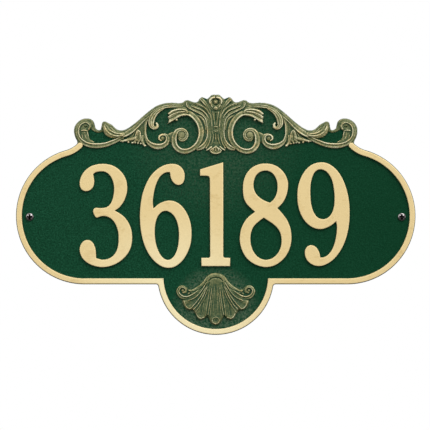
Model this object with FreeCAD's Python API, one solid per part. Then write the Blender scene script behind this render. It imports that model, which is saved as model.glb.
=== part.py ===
import FreeCAD, Part
import math
import os

# A cast house number plaque: a flat plate with round ends and a round lower lobe, a raised rim,
# raised numerals, a crest of scrolls and leaves along the top and a ribbed scallop in the lobe,
# all one casting, and the two pan-head screws that hold it to a wall.
#
# Millimetres. The back lies in the plane y = 0, the front faces -Y, +X is to the right of
# someone who reads the numerals and +Z is up. The origin is midway between the two screws.

# The plate
BODY_LENGTH = 437.2        # over the two round ends
BODY_HEIGHT = 149.4        # between the straight lower edge and the crest's foot line
BODY_RISE = 1.0            # the body's middle line above the screws
LOBE_RADIUS = 63.6
LOBE_DROP = 55.3           # the lobe's lowest point under the straight lower edge
LOBE_FILLET = 3.0          # inner corner where the lobe leaves the lower edge
FLARE_RADIUS = 30.0        # hollow shoulder between a round end and the crest
PLATE_THICKNESS = 5.0

# The rim
RIM_WIDTH = 6.3
RIM_SETBACK = 0.3          # from the plate's edge to the rim's foot
RIM_RAISE = 3.0

# The numerals, plain numbers drawn 114 high
NUMERALS = ["three", "six", "one", "eight", "nine"]
NUMERAL_HEIGHT = 114.0
NUMERAL_RAISE = 3.0
NUMERAL_GAPS = [8.2, 8.8, 10.2, 6.0]
NUMERAL_MIDDLE = -1.2      # middle of the row of numerals
NUMERAL_BASE = -55.0       # foot line of the numerals

DRAFT = 0.5                # how far the walls of the rim and the numerals lean in to leave the mould

# The crest and the scallop
CREST_RISE = 57.8          # highest point of the plate over its foot line
CREST_OVERHANG = 7.1       # how far the crest's corner stands outside a round end's centre
SHELL_WIDTH = 86.8
SHELL_GAP = 4.6            # from the rim's inner edge up to the scallop's ball

# The carved relief: a stroke stands higher where it is broader
RELIEF_LOW = 1.7
RELIEF_HIGH = 4.6
RELIEF_FULL_WIDTH = 3.0    # half width at which a stroke reaches its full height
FOOT_DEPTH = 0.5           # how far the raised forms run on into the plate

# Facets that stand for the smooth curves
FACET = 0.2                # how far a facet may leave an outline's curve
STROKE_FACET = 0.65        # the same along a stroke of the relief
BOSS_SIDES = 10

# The screws, number 8 pan heads with a cross recess
SCREW_INSET = 14.9         # from the plate's end to the screw
HOLE_DIAMETER = 4.8
HEAD_DIAMETER = 8.4
HEAD_HEIGHT = 2.7
HEAD_WALL = 1.1            # straight side of the head
SHANK_DIAMETER = 3.5       # plain neck under the head
THREAD_DIAMETER = 4.2
THREAD_LENGTH = 24.0       # behind the plate, without the point
POINT_LENGTH = 5.0
POINT_TIP = 0.4
HEAD_SIDES = 24            # facets round the head and the neck
RECESS_SPAN = 4.4
RECESS_WIDTH = 1.1
RECESS_DEPTH = 1.7

# Places that follow from the sizes
END_RADIUS = BODY_HEIGHT / 2
END_X = BODY_LENGTH / 2 - END_RADIUS
BODY_TOP = BODY_RISE + END_RADIUS
BODY_FOOT = BODY_RISE - END_RADIUS
LOBE_Z = BODY_FOOT - LOBE_DROP + LOBE_RADIUS
SCREW_X = BODY_LENGTH / 2 - SCREW_INSET

# Sections of a stroke: places across it, as shares of the half width, and shares of its height
HOLLOW = [(-0.74, 1.0), (0.0, 0.45), (0.74, 1.0)]
RIDGE = [(-0.35, 1.0), (0.35, 1.0)]
LEAF = [(-0.8, 0.8), (-0.42, 0.55), (0.0, 1.0), (0.42, 0.55), (0.8, 0.8)]

# Drawn widths and heights of the patterns below, which the sizes above scale
DRAWN_NUMERAL = 114.0
DRAWN_CREST_CORNER = 151.0
DRAWN_CREST_RISE = 57.8
DRAWN_SHELL_WIDTH = 86.8

# Outlines of the numerals, from each one's left edge and foot line. An outline is a list of
# smooth runs, each up to the corner that starts the next one, or one smooth ring.
GLYPHS = {
    "three": [
        [
            [(39, 61.8), (43.9, 65.4), (48.7, 72), (51.9, 81), (52.4, 89), (50.4, 97.5), (45.4, 105),
             (38.2, 110.5), (30.7, 112.8), (24.2, 113.2), (16.2, 112), (8.7, 108.2), (3.2, 102.2),
             (0.3, 95), (0.3, 88.8), (2.7, 84.5), (7.2, 82.9), (11.9, 84.2), (15.2, 88), (16.3, 93.5),
             (15.9, 98)],
            [(15.2, 101.8), (18.9, 104), (24.2, 104.6), (29.2, 103.5), (33.7, 99.5), (36.7, 93),
             (37.7, 86), (36.9, 78), (34.4, 70.5), (30.7, 66.5), (25.7, 64.9)],
            [(17.4, 65.2), (15.3, 63.6), (14.7, 60.6), (16, 57), (18, 54.3), (19.9, 54), (23.2, 55.4),
             (28.9, 55.5), (34.7, 52.7), (39.2, 47), (41.9, 39.5), (42.6, 31), (41.7, 22), (39, 15.5),
             (34.7, 11), (29.7, 8.8), (24.7, 8.4)],
            [(18.4, 10), (18.2, 15.5), (17.3, 21.5), (15.2, 26.2), (12.2, 29), (8.5, 29.9),
             (4.5, 28.6), (1.4, 25), (0, 20), (0.8, 14.5), (3.7, 9), (9.2, 4.2), (16.7, 1),
             (24.7, -0.2), (33.7, 1), (42.7, 5), (50.7, 11.8), (56, 20.5), (57.8, 31), (57.1, 40),
             (54.2, 48), (49.9, 54.2), (44.7, 58.6)],
        ],
    ],
    "six": [
        [
            [(32.8, 103.6), (33.5, 98.5), (35.2, 94.5), (38.4, 91), (42.4, 89.6), (46.2, 91),
             (48.5, 94.5), (49.3, 99.5), (48.6, 104.5), (45.9, 109), (41.4, 112.2), (34.9, 113.3),
             (27.4, 112), (19.9, 108), (12.9, 101.5), (7.1, 92), (2.6, 79.5), (0.3, 65), (0, 51),
             (1.4, 37.5), (4.9, 24), (10.4, 13), (17.9, 4.5), (25.4, 0), (31.4, -1), (37.4, 0),
             (44.9, 5), (51.4, 14), (55.6, 25), (56.8, 37), (55.9, 47), (53.1, 56), (48.4, 64.3),
             (41.9, 70.3), (34.4, 73), (28.4, 72.6), (21.4, 69.8)],
            [(15, 64.7), (14.4, 71), (15.2, 79), (16.6, 86), (19, 93), (22.4, 99), (26.4, 102.5),
             (29.6, 103.6)],
        ],
        [(28.9, 61.3), (33.9, 59.2), (38.4, 54.2), (41.5, 46), (42.6, 35), (41.6, 23.5), (38.9, 15),
         (34.9, 9.7), (30.9, 8.1), (26.2, 9.8), (21.4, 16), (17.9, 25.5), (16.5, 37), (17.1, 47),
         (19.6, 55), (23.9, 60)],
    ],
    "one": [
        [
            [(0.2, 107.2)],
            [(25.8, 115)],
            [(25.9, 12.8), (26.4, 11)],
            [(28.2, 10.4)],
            [(33.4, 10.4)],
            [(33.4, 0.9)],
            [(1.6, 0.9)],
            [(1.6, 10.4)],
            [(9, 10.4), (10.7, 11)],
            [(11.2, 12.8)],
            [(10.8, 96), (10, 98.8)],
            [(7.1, 99.8)],
            [(0, 99.8)],
        ],
    ],
    "eight": [
        [
            [(16.4, 60.5), (11.8, 64.7), (7.1, 69.8), (4.4, 76), (3.4, 85), (4.1, 94), (7, 101.8),
             (12.3, 108.2), (19.3, 112.2), (27.8, 113.6), (36.3, 112.5), (44.1, 108.3), (50.1, 101.3),
             (53, 93.5), (53, 86), (51, 77.5), (47, 70)],
            [(41.7, 64.5), (46.3, 59.5), (51.3, 53), (55.1, 44.7), (56.9, 35), (56.1, 24.5),
             (52.6, 15), (47, 7.7), (39.6, 2.4), (31.8, 0), (23.8, 0.4), (15.3, 3.6), (7.8, 9.5),
             (2.6, 18), (0.1, 28), (0.6, 38), (3.3, 46.5), (8.3, 53.9)],
        ],
        [
            [(33.2, 70.7), (36.4, 73.5), (39.6, 78.8), (41.2, 85.5), (40.7, 93.5), (38.1, 99.8),
             (33.8, 104), (28.3, 105.4), (22.6, 104), (18.1, 100), (15.7, 93.5), (15.6, 87),
             (17.8, 81), (21.8, 76.5), (27.3, 73)],
        ],
        [
            [(26.4, 53.8), (32.3, 50), (38.8, 45.2), (43.6, 39), (45.6, 31), (44.8, 22), (41.1, 14.7),
             (35.3, 9.8), (28.6, 8.2), (21.8, 10.2), (16.3, 15.5), (13, 23), (12, 31.5), (13.1, 39),
             (15.8, 44.7), (20.8, 49.6)],
        ],
    ],
    "nine": [
        [
            [(42.6, 49.8), (38.1, 46.1), (32.4, 43), (25.4, 41.4), (18.1, 42.8), (10.4, 48), (4.7, 56),
             (1.1, 66.5), (0, 78), (1, 89), (4.2, 98.5), (9.2, 106.5), (16.4, 112.5), (25.4, 114.9),
             (33.4, 113.7), (41.4, 108.5), (48.4, 99.5), (53.7, 87), (56.8, 73), (57.6, 59),
             (56.7, 45), (53.7, 31.5), (48.2, 19), (40.6, 9), (32.4, 3.2), (24.4, 0.9), (16.6, 2.6),
             (10.9, 7.3), (8.3, 13.7), (8.8, 19.5), (11.5, 23.1), (15.5, 24.3), (19.9, 22.7),
             (23.2, 18.7), (24.9, 14.5)],
            [(25.4, 10.8), (28.9, 11), (32.4, 12.7), (36.9, 17.5), (40.7, 26), (42.7, 35.5),
             (43.3, 44)],
        ],
        [(25.9, 106.8), (20.6, 105), (16.8, 98.5), (14.9, 89.5), (14.7, 79), (15.7, 68.5), (18.4, 60),
         (22.4, 54.7), (27.9, 52.7), (33.4, 54.2), (37.6, 59), (40, 66), (40.7, 76), (39.7, 87.5),
         (36.9, 97.5), (31.9, 104.3)],
    ],
}

# Upper edge of the plate from the crest's left corner to the middle: x, rise over the foot line
CREST_EDGE = [
    (-151, 5), (-151.5, 7.8), (-153.3, 11.3), (-154.7, 16.8), (-154.3, 22.3), (-151.8, 26.8),
    (-147.5, 30.2), (-142, 31.7), (-137, 30.9), (-134, 28.3), (-132.8, 24.3), (-132, 21.3),
    (-130, 19.5), (-127.5, 18.9), (-125.8, 19.7), (-124.9, 22.3), (-124.4, 25.3), (-123.5, 27.7),
    (-121.5, 28.4), (-118, 26.9), (-114, 24.7), (-111, 21.8), (-108, 19.6), (-104, 18.6), (-100, 19.2),
    (-95, 21.7), (-90, 25.3), (-85, 29.3), (-80, 33.8), (-75, 38.1), (-70, 42), (-65, 45.2),
    (-60, 47.2), (-54, 48.6), (-47, 48.9), (-40, 48.5), (-36, 49.2), (-33.5, 51.1), (-30.5, 51.7),
    (-27.5, 50.6), (-24, 49.5), (-21, 49.5), (-18.7, 51.3), (-17, 53.7), (-14.5, 55.1), (-11.5, 54.3),
    (-9, 53.3), (-7, 54.7), (-4.5, 57.1), (-1.5, 57.8), (0, 57.5),
]

# Strokes of the crest's left half: name, section, lift, and points of x, rise and half width
CREST_STROKES = [
    ("end scroll", HOLLOW, 0, [
        (-138.8, 20.3, 1), (-137.2, 23.8, 1.3), (-138.6, 26.9, 1.5), (-142.3, 28.6, 1.6),
        (-146.9, 27.3, 1.9), (-150.2, 23.8, 2.1), (-151.5, 18.3, 2.2), (-150.6, 12.8, 2.2),
        (-147.6, 8.1, 2.3), (-142.6, 4.5, 2.6), (-136, 2.5, 2.8), (-128.5, 2.2, 2.8), (-121, 3.2, 2.6),
        (-113.5, 5.8, 2.4), (-106, 9.2, 2.1), (-101, 11.8, 1.7)]),
    ("end leaf", LEAF, -0.6, [
        (-143.8, 20.6, 3.4), (-144, 15.3, 4.6), (-142.8, 10.3, 4.2), (-139.5, 6.6, 3.3),
        (-134, 4.5, 2.2)]),
    ("end curl", RIDGE, 0, [
        (-149, 20.8, 0.7), (-148, 23.5, 0.9), (-146, 24.5, 0.9), (-144, 23.3, 0.6)]),
    ("side leaf", LEAF, 0, [
        (-122.3, 26.3, 0.6), (-121.3, 21.5, 2.8), (-117.5, 17.1, 4.7), (-112, 14.9, 4.7),
        (-106.5, 13.9, 3.5), (-100, 14.7, 2.7)]),
    ("long stem", RIDGE, 0, [
        (-105, 12.1, 1), (-99, 14.5, 2.6), (-93, 18.1, 2.9), (-87.5, 22.5, 2.3), (-81.5, 28.1, 1.7),
        (-75.5, 33.6, 1.6), (-69, 38.7, 1.8), (-62, 42.7, 2), (-54.5, 45.1, 1.8), (-46, 45.7, 1.6),
        (-38, 44.7, 1.2), (-32, 42.9, 0.8)]),
    ("hook leaf", LEAF, 0.5, [
        (-57.5, 43.5, 1.6), (-64, 39.8, 2.6), (-68.7, 34.3, 3.4), (-70.6, 28.3, 3.4),
        (-69.9, 23.6, 2.6), (-67.2, 21.6, 1.8), (-64.4, 22.6, 1.6), (-63.9, 25.3, 1.3),
        (-65.2, 27.2, 0.9)]),
    ("small scroll", HOLLOW, 0, [
        (-73.4, 33.9, 1), (-76.8, 27.3, 1.5), (-77.6, 19.3, 1.5), (-77, 12.8, 1.5), (-75, 7.3, 1.9),
        (-70.5, 3.3, 2.6), (-64.5, 1.3, 3.2), (-58.8, 1.9, 2.9), (-54.3, 4.7, 2.5), (-52.4, 9.1, 2.2),
        (-53.9, 13.4, 1.6), (-58.2, 14.4, 1.1), (-61.6, 12.5, 1.1), (-61.9, 9.3, 0.9),
        (-59.6, 7.7, 0.7)]),
    ("main leaf", LEAF, 0.4, [
        (-51.2, 32, 5.4), (-48.2, 34.2, 6.2), (-43, 37, 5.6), (-38, 38.6, 4.4), (-33, 39, 3.2),
        (-28, 38, 2.4)]),
    ("main scroll", HOLLOW, 0, [
        (-37, 37.7, 2.4), (-33, 38.3, 2.7), (-28, 37.1, 3), (-22.3, 32.7, 3), (-17.8, 25.8, 3.1),
        (-15.8, 17.3, 3.1), (-17.2, 8.8, 3), (-21.6, 2.1, 2.8), (-27.5, -2.3, 2.7), (-34, -4, 2.9),
        (-40.2, -2.3, 2.9), (-44.4, 2.3, 3), (-45.8, 8.3, 3.1), (-44.8, 14.3, 2.7), (-42, 18.6, 2.1),
        (-38, 20.1, 1.7), (-33.9, 18.9, 1.6), (-31.6, 15.5, 1.6), (-31.9, 11.6, 1.6), (-34.5, 8.9, 1.6),
        (-38, 8.6, 1.6), (-40.3, 10.4, 1.3)]),
    ("rib leaf", RIDGE, 0, [
        (-21.5, 35.5, 0.9), (-17, 33.9, 1.3), (-13.4, 30.5, 1.5), (-11.4, 25.3, 1.4), (-10.6, 19.3, 1)]),
    ("outer rib", RIDGE, 0, [
        (-31.3, 49.1, 1.6), (-30.4, 45.6, 1.5), (-26, 42.6, 1.5), (-20, 39.8, 1.6), (-14, 36.3, 1.6),
        (-10.2, 31.8, 1.6), (-8.6, 25.3, 1.7), (-8, 17.3, 1.7), (-8.7, 10.3, 1.8), (-11.2, 4.7, 2.2),
        (-15.4, 0.4, 2.6), (-20.5, -1.7, 1.5)]),
    ("upper leaf", RIDGE, 0, [
        (-23.8, 47.6, 0.7), (-19, 44.9, 1.3), (-14, 41.3, 1.4), (-9.8, 36.3, 1.3), (-6.8, 29.3, 1.1),
        (-6, 21.3, 0.9)]),
    ("bud leaf", HOLLOW, 0, [
        (-16.2, 53.3, 1.6), (-12.8, 50.1, 2), (-9.3, 45.1, 1.9), (-6.2, 38.8, 1.4), (-4.4, 31.3, 1.1),
        (-3.8, 23.3, 0.9)]),
    ("petal", RIDGE, 0.5, [
        (-0.9, 55.6, 1.1), (-4.4, 54.6, 1.4), (-6.6, 51.6, 1.3), (-6.4, 48.3, 1)]),
    ("lower vein", RIDGE, 0, [
        (-5.6, 17.3, 0.9), (-6.2, 10.3, 1.1), (-7.8, 4.3, 1.2), (-10.6, -0.5, 1)]),
    ("foot leaf", RIDGE, 0.2, [
        (-4.5, 1.1, 1.2), (-7.5, -1.3, 1.1), (-10.2, -2.9, 0.5)]),
    ("under leaf 1", RIDGE, 0, [
        (-82, 12.8, 2), (-89, 10.3, 2.2), (-96, 8.4, 1.6), (-104.5, 7.3, 0.8)]),
    ("under leaf 2", RIDGE, 0, [
        (-82.5, 11.8, 2), (-87, 8.5, 1.9), (-90.4, 5.4, 0.9)]),
    ("under leaf 4", RIDGE, 0, [
        (-80, 13.3, 1.4), (-80.3, 6.8, 1.9), (-77.4, 1.7, 0.9)]),
    ("web", RIDGE, -3.1, [(-80, 12.3, 5), (-87, 12.3, 4.6), (-94, 10.3, 3.2), (-101, 8.5, 1.8)]),
]

# Round knobs of the crest's left half: x, rise and radius
CREST_BOSSES = [(-36.9, 13.7, 3.6), (-141.7, 22.6, 1.2), (-43.6, 30.6, 1.3)]

# Strokes of the crest's middle, in pairs and alone
CREST_CENTRE_SIDES = [
    ("boss rib 2", RIDGE, 0.5, [
        (-0.6, 1.3, 1), (-2.7, -1.9, 1.5), (-4, -4.3, 1.1)]),
    ("boss rib 3", RIDGE, 0.4, [
        (-1.2, 1.1, 0.9), (-4.4, -0.9, 1.3), (-6, -2.3, 0.9)]),
]
CREST_CENTRE = [
    ("sheaf", RIDGE, -2.4, [
        (0, 43.3, 5.4), (0, 33.3, 5), (0, 22.3, 5.4), (0, 12.3, 6.2), (0, 2.3, 7.6)]),
    ("centre petal", RIDGE, 0.3, [
        (0, 52.9, 1.5), (0, 49.8, 2.4), (0, 45.6, 1.6)]),
    ("centre vein", RIDGE, 0.2, [
        (0, 36.3, 0.8), (0, 28.3, 0.9), (0, 20.3, 1.1), (0, 12.3, 1.2), (0, 4.3, 1.3)]),
    ("boss rib", RIDGE, 0.6, [
        (0, 1.9, 1.2), (0, -2.2, 2), (0, -5.5, 1.4)]),
]

# Strokes of the scallop, in pairs and alone, measured up from its lowest point
SHELL_STROKES = [
    ("rib 1", RIDGE, 0.3, [
        (-4, 49.8, 1.8), (-6.3, 35.8, 2.3), (-7.8, 21.8, 2.6), (-7.6, 9.8, 2)]),
    ("rib 2", LEAF, 0.3, [
        (-6.5, 47.8, 1.8), (-10.8, 33.8, 2.8), (-14.2, 21.8, 4.2), (-16.3, 11.8, 4.9),
        (-16.5, 6.6, 2.8)]),
    ("rib 3", RIDGE, 0.3, [
        (-8.5, 46.8, 1.6), (-13.4, 34.8, 2.2), (-18.3, 24.3, 2.8), (-23, 15.8, 2.3)]),
    ("rib 4", RIDGE, 0.2, [
        (-10, 44.8, 1.6), (-16.5, 34.8, 2.7), (-23.5, 26.3, 4.1), (-30.3, 20.8, 4.2),
        (-33.2, 18.8, 2.4)]),
    ("side scroll", HOLLOW, 0.5, [
        (-12, 42.8, 1.6), (-18.5, 36.3, 3.2), (-25.5, 30.9, 2.9), (-32.5, 29.1, 2.1), (-38.7, 31.3, 2),
        (-41.4, 36.3, 1.7), (-39.4, 40.5, 1.5), (-35.6, 41.5, 1.4), (-32.6, 39, 1.3),
        (-32.9, 35.6, 1.3), (-36, 34.8, 1.1)]),
    ("upper edge", RIDGE, 0.3, [
        (0, 54.5, 1.4), (-5, 53.4, 1.4), (-9.6, 50.5, 1.4), (-12.8, 46.4, 1.4), (-17.3, 42.2, 1.4),
        (-23, 39.5, 1.4), (-29.5, 38.6, 1.2)]),
]
SHELL_CENTRE = [
    ("body", RIDGE, -1.2, [
        (0, 54.3, 8), (0, 46.8, 12.5), (0, 38.8, 19), (0, 29.8, 24), (0, 20.8, 25), (0, 13.8, 19),
        (0, 8.8, 11)]),
    ("rib 0", RIDGE, 0.6, [
        (0, 51.8, 2.2), (0, 37.8, 3), (0, 22.8, 3.6), (0, 11.8, 3.3)]),
    ("ball", RIDGE, 0.3, [
        (0, 8.3, 3), (0, 4.6, 4.4), (0, 0.6, 2.4)]),
]


def point(x, z, y=0.0):
    return FreeCAD.Vector(x, y, z)


def arc(centre, radius, start, end):
    """Arc about a centre (x, z) from one angle to another, in degrees from +X towards +Z."""
    turns = [math.radians(start + (end - start) * share) for share in (0, 0.5, 1)]
    ends = [point(centre[0] + radius * math.cos(t), centre[1] + radius * math.sin(t)) for t in turns]
    return Part.Arc(*ends).toShape()


def smooth(points, closed=False):
    """Points along the smooth curve through the given ones, as close as its facets need them."""
    curve = Part.BSplineCurve()
    curve.interpolate(Points=points, PeriodicFlag=closed)
    return curve.discretize(QuasiDeflection=FACET)


def facet(ring):
    return Part.Face(Part.makePolygon(ring + ring[:1]))


def solid_of(faces):
    """Solid inside the faces, which close without a gap."""
    solid = Part.Solid(Part.makeShell(faces))
    if solid.Volume < 0:
        solid.reverse()
    return solid


def inset(ring, distance):
    """The ring's corners moved to the left of someone who walks along it."""
    moved = []
    for before, corner, after in zip(ring[-1:] + ring[:-1], ring, ring[1:] + ring[:1]):
        first = (corner - before).normalize()
        second = (after - corner).normalize()
        left = FreeCAD.Vector(-first.z - second.z, 0, first.x + second.x)
        moved.append(corner + left * (distance / (1 + first.dot(second))))
    return moved


def area(ring):
    """Area inside a ring, positive where the ring runs against the clock as the front is read."""
    return sum(a.x * b.z - b.x * a.z for a, b in zip(ring, ring[1:] + ring[:1])) / 2


def raised(rings, height):
    """Block on the plate's front: the first ring less the others, with walls drafted inwards."""
    faces = []
    feet = []
    tops = []
    for index, ring in enumerate(rings):
        if (area(ring) > 0) == (index > 0):
            ring = ring[::-1]
        feet.append([corner + point(0, 0, FOOT_DEPTH - PLATE_THICKNESS) for corner in ring])
        tops.append([corner + point(0, 0, -PLATE_THICKNESS - height) for corner in inset(ring, DRAFT)])
        for k in range(len(ring)):
            faces.append(facet([feet[-1][k - 1], feet[-1][k], tops[-1][k], tops[-1][k - 1]]))
    for level in (feet, tops):
        wires = [Part.makePolygon(ring + ring[:1]) for ring in level]
        faces.append(Part.makeFace(wires, "Part::FaceMakerBullseye"))
    return solid_of(faces)


def crest_place(x, rise):
    """Where a drawn point of the crest lies on the plate."""
    return (x * (END_X + CREST_OVERHANG) / DRAWN_CREST_CORNER, BODY_TOP + rise * CREST_RISE / DRAWN_CREST_RISE)


def shell_place(x, rise):
    """Where a drawn point of the scallop lies on the plate."""
    scale = SHELL_WIDTH / DRAWN_SHELL_WIDTH
    foot = BODY_FOOT - LOBE_DROP + RIM_SETBACK + RIM_WIDTH + SHELL_GAP
    return (x * scale, foot + rise * scale)


def shoulder():
    """Centre of the left flare's arc, and the angles at which it leaves the end and meets the crest."""
    corner = crest_place(*CREST_EDGE[0])
    dx = corner[0] + END_X
    dz = corner[1] - BODY_RISE
    reach = math.hypot(dx, dz)
    along = (reach ** 2 + (END_RADIUS + FLARE_RADIUS) ** 2 - FLARE_RADIUS ** 2) / (2 * reach)
    aside = math.sqrt((END_RADIUS + FLARE_RADIUS) ** 2 - along ** 2)
    centre = (-END_X + (dx * along - dz * aside) / reach, BODY_RISE + (dz * along + dx * aside) / reach)
    leaves = math.degrees(math.atan2(centre[1] - BODY_RISE, centre[0] + END_X))
    meets = math.degrees(math.atan2(corner[1] - centre[1], corner[0] - centre[0]))
    return centre, leaves, meets


def mirrored(edges):
    """The edges turned over the middle line."""
    return [edge.mirror(point(0, 0), FreeCAD.Vector(1, 0, 0)) for edge in edges]


def lower_edges(inset, sharp=False):
    """Left half of the plate's edge under the crest, drawn a distance inside it.

    Where it is sharp the straight edge and the lobe meet in a corner, else in a fillet.
    """
    flare, leaves, meets = shoulder()
    foot = BODY_FOOT + inset
    fillet = 0 if sharp else LOBE_FILLET + inset
    corner_z = foot - fillet
    corner_x = -math.sqrt((LOBE_RADIUS - inset + fillet) ** 2 - (LOBE_Z - corner_z) ** 2)
    lean = math.degrees(math.atan2(corner_z - LOBE_Z, corner_x))
    edges = [
        arc(flare, FLARE_RADIUS + inset, meets, leaves - 180),
        arc((-END_X, BODY_RISE), END_RADIUS - inset, leaves, 270),
        Part.LineSegment(point(-END_X, foot), point(corner_x, foot)).toShape(),
    ]
    if not sharp:
        edges.append(arc((corner_x, corner_z), fillet, 90, lean + 180))
    edges.append(arc((0, LOBE_Z), LOBE_RADIUS - inset, lean, -90))
    return edges


def walk(edges):
    """Points along edges that follow one another, as close as their facets need them."""
    points = edges[0].discretize(QuasiDeflection=FACET)
    for edge in edges[1:]:
        points += edge.discretize(QuasiDeflection=FACET)[1:]
    return points


def plate():
    """Flat plate whose upper edge follows the crest."""
    left = [point(*crest_place(x, rise)) for x, rise in CREST_EDGE]
    right = [point(-corner.x, corner.z) for corner in reversed(left[:-1])]
    crest = Part.makePolygon(smooth(left + right)).Edges
    edges = lower_edges(0)
    outline = Part.Wire(Part.__sortEdges__(crest + edges + mirrored(edges)))
    return Part.Face(outline).extrude(point(0, 0, -PLATE_THICKNESS))


def rim():
    """Raised band along the plate's edge, with a round end at each side of the crest."""
    flare, _, meets = shoulder()
    reach = FLARE_RADIUS + RIM_SETBACK + RIM_WIDTH / 2
    turn = math.radians(meets)
    end = (flare[0] + reach * math.cos(turn), flare[1] + reach * math.sin(turn))
    round_end = walk([arc(end, RIM_WIDTH / 2, meets, meets + 180)])
    inner = walk(lower_edges(RIM_SETBACK + RIM_WIDTH, True))
    left = inner[::-1] + round_end[1:-1] + walk(lower_edges(RIM_SETBACK))
    right = [point(-corner.x, corner.z) for corner in left[-2:0:-1]]
    return raised([left + right], RIM_RAISE)


def numeral_ring(outline, scale):
    """Corners of a numeral's outline: smooth runs that meet at corners, or one smooth ring."""
    if isinstance(outline[0], tuple):
        return smooth([point(x * scale, z * scale) for x, z in outline], closed=True)[:-1]
    ring = []
    for run, following in zip(outline, outline[1:] + outline[:1]):
        points = [point(x * scale, z * scale) for x, z in run + following[:1]]
        ring += (points if len(points) == 2 else smooth(points))[:-1]
    return ring


def numerals():
    """The raised numerals, set in a row with their own gaps."""
    scale = NUMERAL_HEIGHT / DRAWN_NUMERAL
    drawn = [[numeral_ring(outline, scale) for outline in GLYPHS[numeral]] for numeral in NUMERALS]
    widths = [max(corner.x for corner in rings[0]) for rings in drawn]
    x = NUMERAL_MIDDLE - (sum(widths) + sum(NUMERAL_GAPS)) / 2
    blocks = []
    for rings, width, gap in zip(drawn, widths, NUMERAL_GAPS + [0]):
        place = point(x, NUMERAL_BASE)
        blocks.append(raised([[corner + place for corner in ring] for ring in rings], NUMERAL_RAISE))
        x += width + gap
    return blocks


def stations(points):
    """Places along a stroke, closer where it bends: x, z, half width and the direction across it."""
    curve = Part.BSplineCurve()
    curve.interpolate([point(x, z, half) for x, z, half in points])
    places = curve.discretize(QuasiDeflection=STROKE_FACET)
    if len(places) < 3:
        places = curve.discretize(Number=3)
    found = []
    for index, place in enumerate(places):
        before = places[max(index - 1, 0)]
        after = places[min(index + 1, len(places) - 1)]
        along = point(after.x - before.x, after.z - before.z).normalize()
        found.append((place.x, place.z, place.y, point(-along.z, along.x)))
    return found


def stroke(points, section, lift):
    """Solid band of relief along a smooth path, faceted, with its foot in the plate."""
    rings = []
    for x, z, half, across in stations(points):
        share = min(half / RELIEF_FULL_WIDTH, 1)
        height = RELIEF_LOW + (RELIEF_HIGH - RELIEF_LOW) * share + lift
        profile = [(-1, -FOOT_DEPTH)] + [(s, h * height) for s, h in section] + [(1, -FOOT_DEPTH)]
        rings.append([point(x, z, -PLATE_THICKNESS - h) + across * (half * s) for s, h in profile])
    faces = []
    for near, far in zip(rings, rings[1:]):
        for k in range(len(near) - 1):
            faces.append(facet([near[k], near[k + 1], far[k + 1]]))
            faces.append(facet([near[k], far[k + 1], far[k]]))
        faces.append(facet([near[-1], near[0], far[0], far[-1]]))
    faces += [facet(rings[0]), facet(rings[-1])]
    return solid_of(faces)


def turned(profile, sides):
    """Faceted solid turned about the Y axis through pairs of radius and depth."""
    rings = []
    for radius, depth in profile:
        turns = [2 * math.pi * k / sides for k in range(sides)]
        rings.append([point(radius * math.cos(t), radius * math.sin(t), depth) for t in turns])
    faces = [facet(rings[0]), facet(rings[-1])]
    for near, far in zip(rings, rings[1:]):
        for k in range(sides):
            faces.append(facet([near[k - 1], near[k], far[k], far[k - 1]]))
    return solid_of(faces)


def boss(place, radius):
    """Small round knob of relief, with its foot in the plate."""
    height = RELIEF_LOW + (RELIEF_HIGH - RELIEF_LOW) * min(radius / RELIEF_FULL_WIDTH, 1)
    foot = FOOT_DEPTH - PLATE_THICKNESS
    top = -PLATE_THICKNESS - height
    knob = turned([(radius, foot), (radius * 0.85, top + height * 0.3), (radius * 0.45, top)], BOSS_SIDES)
    knob.translate(point(*place))
    return knob


def carve(strokes, place, width_scale):
    """The strokes of one pattern, put where the pattern lies."""
    solids = []
    for name, section, lift, points in strokes:
        placed = [(*place(x, z), half * width_scale) for x, z, half in points]
        solids.append(stroke(placed, section, lift))
    return solids


def both_sides(solids):
    """The solids and their mirror images."""
    return solids + [solid.mirror(point(0, 0), FreeCAD.Vector(1, 0, 0)) for solid in solids]


def relief():
    """All the carved strokes of the crest and the scallop."""
    crest_scale = min(CREST_RISE / DRAWN_CREST_RISE, (END_X + CREST_OVERHANG) / DRAWN_CREST_CORNER)
    shell_scale = SHELL_WIDTH / DRAWN_SHELL_WIDTH
    solids = both_sides(carve(CREST_STROKES, crest_place, crest_scale))
    solids += both_sides(carve(CREST_CENTRE_SIDES, crest_place, crest_scale))
    solids += both_sides([boss(crest_place(x, rise), radius * crest_scale) for x, rise, radius in CREST_BOSSES])
    solids += carve(CREST_CENTRE, crest_place, crest_scale)
    solids += both_sides(carve(SHELL_STROKES, shell_place, shell_scale))
    solids += carve(SHELL_CENTRE, shell_place, shell_scale)
    return solids


def screw_hole(x):
    return Part.makeCylinder(HOLE_DIAMETER / 2, 4 * PLATE_THICKNESS, point(x, 0, PLATE_THICKNESS),
                             FreeCAD.Vector(0, -1, 0))


def cast_plaque():
    """The whole casting as one solid."""
    body = plate().multiFuse([rim()] + numerals() + relief())
    for x in (-SCREW_X, SCREW_X):
        body = body.cut(screw_hole(x))
    return body.Solids[0] if len(body.Solids) == 1 else body


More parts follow.
